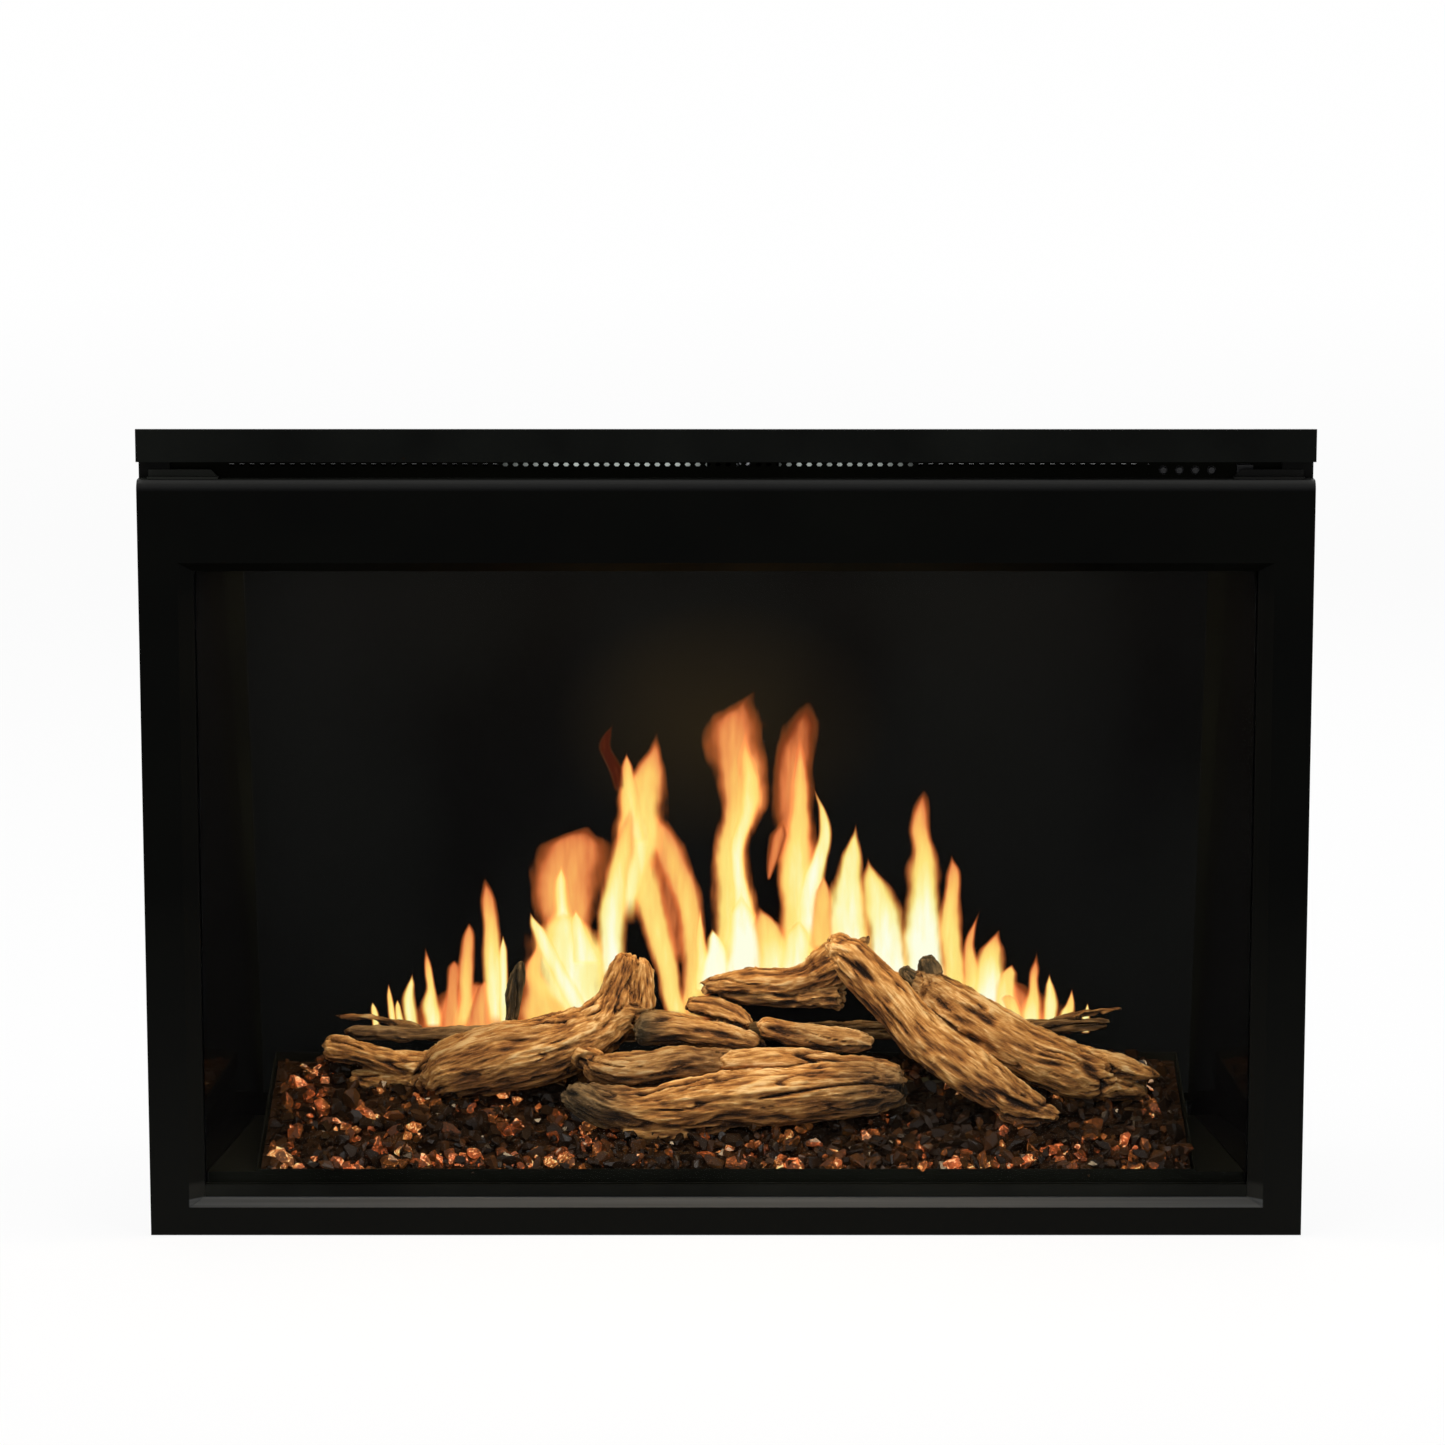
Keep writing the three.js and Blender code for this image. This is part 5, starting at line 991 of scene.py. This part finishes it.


# Flame picture: tongues of light that lie just in front of the display. Each has the warmth at its foot
# and at its tip, and rows read from the photograph: across, down and half width, in its pixels.
PICTURE_LIFT = 4 * MM
FLAMES = [
    ("glow_left", 0.4, 0.26, [(468, 1036, 50), (468, 1018, 46), (470, 1002, 36), (474, 990, 22),
     (478, 982, 8)]),
    ("glow_right", 0.42, 0.26, [(1016, 1032, 52), (1012, 1015, 46), (1004, 998, 36), (998, 985, 22),
     (994, 976, 8)]),
    ("spark_left", 0.9, 0.8, [(376, 1032, 2.5), (375, 1018, 3.2), (373.5, 1010, 2.4),
     (372.3, 1003, 0.6)]),
    ("wisp_a", 0.85, 0.55, [(394, 1033, 3.8), (391.5, 1012, 3.2), (389.5, 998, 2.4), (388.3, 984, 0.7)]),
    ("wisp_b", 0.85, 0.75, [(402, 1033, 5.2), (398.5, 1014, 3.8), (397.2, 1000, 0.8)]),
    ("wisp_c", 0.95, 0.8, [(413, 1034, 5), (409, 1010, 6.8), (409, 995, 5.8), (411, 984, 3.4),
     (412.5, 972, 0.7)]),
    ("wisp_d", 0.95, 0.4, [(434, 1030, 7), (433, 1018, 8), (430.5, 1005, 8.4), (431, 990, 4.4),
     (429, 975, 3.6), (427, 960, 3.2), (424.9, 947, 0.8)]),
    ("ember_left", 0.5, 0.25, [(456, 1034, 16), (453, 1005, 8), (453, 985, 6), (454, 968, 6),
     (454, 961, 3)]),
    ("spire_a", 0.72, 0.3, [(464, 1034, 10), (466, 1005, 8), (466, 985, 7), (467, 965, 6.6),
     (468, 945, 6), (469, 930, 5), (469, 923, 2)]),
    ("low_orange", 0.48, 0.3, [(480, 1034, 18), (482, 1005, 10), (484, 990, 7), (485, 979, 2)]),
    ("spire_b", 0.98, 0.1, [(499, 1032, 10), (498, 1010, 10), (496, 990, 10.5), (494, 970, 11),
     (492, 950, 9), (491, 930, 7.6), (489, 910, 6.8), (487, 893, 6), (485, 882, 4.6), (485, 876, 2)]),
    ("spire_b_side", 0.98, 0.85, [(505, 1034, 3.6), (503.5, 1012, 4.4), (503.5, 985, 4.2),
     (503, 960, 3.8), (503, 945, 2.8), (503, 935, 0.8)]),
    ("blob", 0.56, 0.27, [(566, 960, 16), (567, 925, 23), (566, 905, 26), (566, 888, 29), (568, 870, 32),
     (571, 855, 32), (575, 843, 28), (581, 833, 20), (587, 826, 8)]),
    ("blob_spike", 0.95, 0.75, [(566, 950, 13), (563, 920, 9), (562, 905, 7), (561, 890, 6),
     (561, 875, 4.4), (561.6, 865, 1)]),
    ("base_outer", 0.66, 0.55, [(556, 1034, 30), (546, 1010, 26), (540, 990, 16), (533, 972, 9),
     (536, 955, 6), (540, 937, 2)]),
    ("base_mass", 0.97, 0.8, [(590, 1030, 22), (583, 1008, 24), (575, 990, 34), (572, 970, 39),
     (570, 950, 36), (567, 930, 27), (563, 915, 16), (560, 903, 5)]),
    ("base_wing", 1, 0.85, [(588, 1026, 9), (575, 1002, 10), (561, 975, 9.5), (549, 952, 9),
     (540, 932, 7), (533, 920, 4), (530, 911, 0.8)]),
    ("base_spike", 0.98, 0.85, [(588, 965, 15), (581, 940, 10), (577, 922, 6), (575.6, 909, 1.2)]),
    ("fork_inner", 0.28, 0.15, [(677, 965, 8), (675, 930, 12), (671, 905, 13), (666, 880, 13),
     (659, 858, 11), (653, 842, 5)]),
    ("fork_right", 0.72, 0.4, [(694, 1030, 14), (694, 1003, 13), (695, 975, 12), (694, 950, 12),
     (692, 925, 11), (688, 900, 12), (681, 880, 13), (674, 862, 14), (667, 845, 15), (660, 828, 15),
     (652, 810, 13), (646, 793, 9)]),
    ("fork_middle", 0.78, 0.66, [(682, 1034, 10), (677, 1010, 10), (672, 993, 10), (668, 970, 11),
     (663, 950, 12), (657, 930, 13), (651, 910, 14), (645, 890, 15), (640, 870, 16), (638, 850, 16),
     (637, 825, 15), (638, 800, 10)]),
    ("fork_body", 0.9, 0.3, [(622, 925, 11), (627, 895, 13), (634, 865, 17), (639, 840, 20),
     (640, 820, 21), (641, 800, 20), (643, 785, 18), (649, 770, 13.5), (653, 755, 10), (656, 740, 7),
     (657, 727, 2)]),
    ("fork_left", 0.85, 0.35, [(634, 845, 13), (633, 822, 12), (630, 795, 9.5), (628, 775, 6.5),
     (627, 760, 4), (626.5, 750, 1)]),
    ("fork_leg", 1.05, 0.5, [(612, 985, 11), (613, 963, 11.5), (612, 945, 12), (611, 925, 13),
     (613, 905, 12.5), (617, 885, 11), (621, 865, 10.5), (626, 840, 11), (631, 810, 9), (634, 790, 4)]),
    ("red_wisp", 0.1, 0.06, [(620, 792, 4), (617, 772, 6), (610, 757, 6), (605, 745, 5), (608, 733, 4),
     (614, 722, 2)]),
    ("snake", 0.84, 0.18, [(733, 978, 21), (734, 950, 20), (735, 920, 19.5), (734.5, 895, 19.5),
     (731, 869, 16.5), (731, 844, 15), (739, 818, 16.5), (742.5, 806, 18), (743.5, 793, 20.5),
     (740, 767, 24), (734, 742, 23), (735, 720, 24), (741, 706, 20), (749, 696, 13), (755, 689, 4)]),
    ("snake_core", 1, 0.6, [(738, 975, 12), (742, 950, 12), (744, 920, 11), (742, 895, 9), (738, 869, 7),
     (738, 844, 7), (746, 818, 8), (750, 800, 9), (750, 780, 9), (746, 755, 8), (745, 735, 5),
     (746, 722, 2)]),
    ("tower", 0.52, 0.18, [(799, 978, 18), (800, 945, 17), (801, 920, 16.5), (800, 895, 18),
     (799, 870, 19), (796, 844, 18), (794, 818, 16), (793, 793, 16), (793, 767, 16.5), (797, 742, 18),
     (802, 720, 19), (806, 706, 15), (808, 699, 6)]),
    ("tower_core", 0.88, 0.45, [(800, 985, 16), (800, 950, 15), (797, 900, 16), (796, 864, 16),
     (798, 835, 12), (800, 805, 9), (800, 775, 7), (800, 747, 6), (799, 722, 2)]),
    ("tower_hook", 0.3, 0.4, [(768.5, 879, 1.2), (771, 865, 4.4), (775, 850, 7), (780, 832, 8),
     (784, 815, 6)]),
    ("tower_wisp", 1, 0.75, [(808, 945, 9), (808, 915, 10), (809, 895, 11), (813, 875, 10),
     (819, 857, 7.5), (824, 840, 6), (825, 825, 5.2), (822, 808, 3.8), (817, 795, 2.4), (814, 787, 0.6)]),
    ("low_a", 0.9, 0.7, [(704, 992, 11), (703, 965, 8), (700, 935, 4.6), (700.6, 903, 1.2)]),
    ("low_b", 1.1, 0.9, [(716, 990, 17), (716, 965, 15), (717, 950, 11), (714, 935, 6), (712, 925, 2)]),
    ("low_c", 1.1, 0.95, [(745, 990, 24), (746, 960, 22), (745, 935, 17), (742, 910, 11), (741, 888, 4)]),
    ("low_d", 0.92, 0.5, [(775, 990, 23), (776, 960, 21), (772, 940, 16), (765, 920, 11), (758, 902, 4)]),
    ("low_e", 1, 0.85, [(795, 985, 20), (796, 960, 16), (797, 935, 12), (800, 915, 5)]),
    ("arm_left", 1, 0.78, [(852, 985, 25), (848, 955, 23), (848, 930, 23), (847, 910, 22), (848, 890, 19),
     (849, 875, 13), (851, 860, 10.5), (853, 845, 7), (855, 830, 4), (856, 819, 0.8)]),
    ("arm_back", 0.68, 0.55, [(822, 950, 11), (822, 912, 10), (823, 892, 8), (824, 873, 3)]),
    ("arm_right", 1.1, 0.6, [(922, 1030, 4), (909, 1000, 9), (897, 975, 14), (888, 950, 18),
     (884, 925, 18), (880, 905, 18.5), (875, 888, 15), (871, 872, 9), (868.5, 860, 4), (867.8, 851, 1)]),
    ("torch", 1.12, 0.14, [(930, 1005, 22), (926, 972, 21), (925, 950, 20.5), (924, 925, 19.5),
     (924, 900, 16.5), (924, 885, 14.5), (923, 868, 14), (923, 847, 10), (919, 825, 8.8), (921, 803, 8.4),
     (923, 792, 8.2), (924, 786, 3)]),
    ("torch_side", 0.85, 0.28, [(960, 1012, 11), (956, 990, 10.5), (953, 960, 11), (950, 935, 11),
     (949, 912, 10.5), (951, 895, 8.4), (953, 880, 7), (953.5, 867, 6.2), (952, 858, 4), (951, 851, 1)]),
    ("crown_left", 0.85, 0.15, [(978, 1022, 14), (974, 1000, 13), (973, 975, 9.5), (970, 955, 6.5),
     (969, 940, 4.6), (974, 922, 3), (981.6, 903, 1.2)]),
    ("crown", 1.1, 0.35, [(996, 1026, 15), (992, 1010, 15), (990, 985, 14), (989, 965, 13),
     (990, 950, 11), (994, 938, 7.5), (999, 926, 2.5)]),
    ("crown_right", 0.9, 0.6, [(1008, 1022, 10), (1005, 1000, 10), (1006, 982, 9), (1009, 969, 7),
     (1012, 961, 3)]),
    ("crown_tail", 0.8, 0.6, [(1017, 1015, 5), (1011, 1002, 7), (1006, 990, 7)]),
    ("candle_a", 0.92, 0.2, [(1031, 1026, 8), (1031, 1012, 9.5), (1032, 1000, 8.5), (1033, 988, 5.5),
     (1033, 975, 4.2), (1035, 962, 4.4), (1036.5, 947, 1)]),
    ("candle_b", 0.95, 0.7, [(1048, 1030, 5.4), (1050, 1005, 6.6), (1050, 992, 5.6), (1049, 980, 3),
     (1049, 969, 0.7)]),
    ("candle_c", 0.9, 0.6, [(1062, 1030, 8), (1066, 1010, 6.6), (1070, 1000, 3.4), (1071.6, 983, 0.8)]),
    ("candle_d", 0.95, 0.8, [(1085, 1030, 3.4), (1085, 1015, 4), (1086.5, 1007, 2), (1087, 999, 0.6)]),
]


# The tongues lie in layers from the display outwards, and are drawn wider than seen, as their edges fade
FIRST_LAYER, LAYER_GAP = 1.0 * MM, 0.22 * MM
FADING_WIDTH = 3.3
THINNEST = 0.3 * MM


def flame_row(px, py, half):
    """Pixels as metres on the display: across, up its slope from the foot, and half width."""
    foot = DISPLAY_FOOT + DISPLAY_OUT * PICTURE_LIFT
    way = sight(px, py)
    reach = (foot - CAMERA_PLACE).dot(DISPLAY_OUT) / way.dot(DISPLAY_OUT)
    spot = CAMERA_PLACE + way * reach
    return Vector((spot.x, (spot - foot).dot(DISPLAY_UP), half * reach / FOCAL))


def smooth_row(line, share):
    """The place on a smooth curve through rows, at a share of its rows from foot to tip."""
    last = len(line) - 1
    row = min(share * last, last - 1e-6)
    i, mix = int(row), row - int(row)
    before, start, stop, after = line[max(0, i - 1)], line[i], line[i + 1], line[min(last, i + 2)]
    bend = 2 * before - 5 * start + 4 * stop - after
    turn = 3 * start - before - 3 * stop + after
    return 0.5 * (2 * start + (stop - before) * mix + bend * mix ** 2 + turn * mix ** 3)


def flame_tongue(number, name, warm_foot, warm_tip, rows):
    """A strip drawn up from its foot, smoothly through its rows."""
    bpy.ops.mesh.primitive_grid_add(x_subdivisions=8, y_subdivisions=(len(rows) - 1) * 5, size=1)
    tongue = bpy.context.object
    tongue.name = "flame_" + name
    line = [flame_row(*row) for row in rows]
    layer = DISPLAY_FOOT + DISPLAY_OUT * (FIRST_LAYER + number * LAYER_GAP)
    warmth = []
    for vertex in tongue.data.vertices:
        across, along = vertex.co.x, vertex.co.y + 0.5
        x, up, half = smooth_row(line, along)
        x += FADING_WIDTH * max(THINNEST, half) * across
        vertex.co = layer + DISPLAY_UP * up + Vector((x, 0, 0))
        warmth.append(warm_foot + (warm_tip - warm_foot) * along ** 1.9)
    tongue.data.attributes.new("warmth", 'FLOAT', 'POINT').data.foreach_set("value", warmth)
    edit(tongue)
    leave_facing_outwards()
    return tongue


picture = joined([flame_tongue(number, *row) for number, row in enumerate(FLAMES)], "flame_picture")
finished(picture, "cabinet", fire)


# Fasteners

def disc(sides, radius, foot, high):
    middle = (0, 0, foot + high / 2)
    bpy.ops.mesh.primitive_cylinder_add(vertices=sides, radius=radius, depth=high, location=middle)
    return bpy.context.object


def step_in(thickness, rise):
    """Insets the selected top face, and moves it up or down."""
    bpy.ops.mesh.inset(thickness=thickness)
    bpy.ops.transform.translate(value=(0, 0, rise))


def sheet_screw():
    """Hex washer head: a flange, a chamfered hexagon and the dish in its top."""
    flange = disc(24, 4.6 * MM, 0, 0.8 * MM)
    edit(flange)
    pick(flange, 'FACE', lambda middle, normal: normal.z > 0.9)
    step_in(0.7 * MM, 0.3 * MM)
    leave()
    head = disc(6, 3.4 * MM, 0.9 * MM, 2.4 * MM)
    edit(head)
    pick(head, 'FACE', lambda middle, normal: normal.z > 0.9)
    step_in(0.4 * MM, 0.3 * MM)
    step_in(0.7 * MM, -0.6 * MM)
    pick(head, 'EDGE', lambda middle, way: abs(way.z) > 0.9)
    bpy.ops.mesh.bevel(offset=0.2 * MM, segments=2)
    leave()
    return joined([head, flange], "sheet_screw")


def screw_places():
    """Where sheet screws hold the box together: side panels, lid and cover."""
    side_face, lid_face = 0.451, 0.6265
    rows = {"left": [], "right": [], "top": []}
    for z in (0.035, 0.15, 0.30, 0.45, 0.595):
        for y in (0.138, -0.118):
            for side, sign in (("left", -1), ("right", 1)):
                turn = Matrix.Rotation(sign * math.pi / 2, 4, 'Y')
                rows[side].append(Matrix.Translation((sign * side_face, y, z)) @ turn)
    for x in (-0.42, -0.21, 0.0, 0.21, 0.42):
        for y in (0.14, -0.005):
            rows["top"].append(Matrix.Translation((x, y, lid_face)))
    return rows


screw = sheet_screw()
for side, places in screw_places().items():
    piece = gathered(f"sheet_screws_{side}", [(screw, place, {}) for place in places])
    finished(piece, "cabinet", zinc_screw, 30)
bpy.data.objects.remove(screw)

scene.view_settings.view_transform = 'Standard'
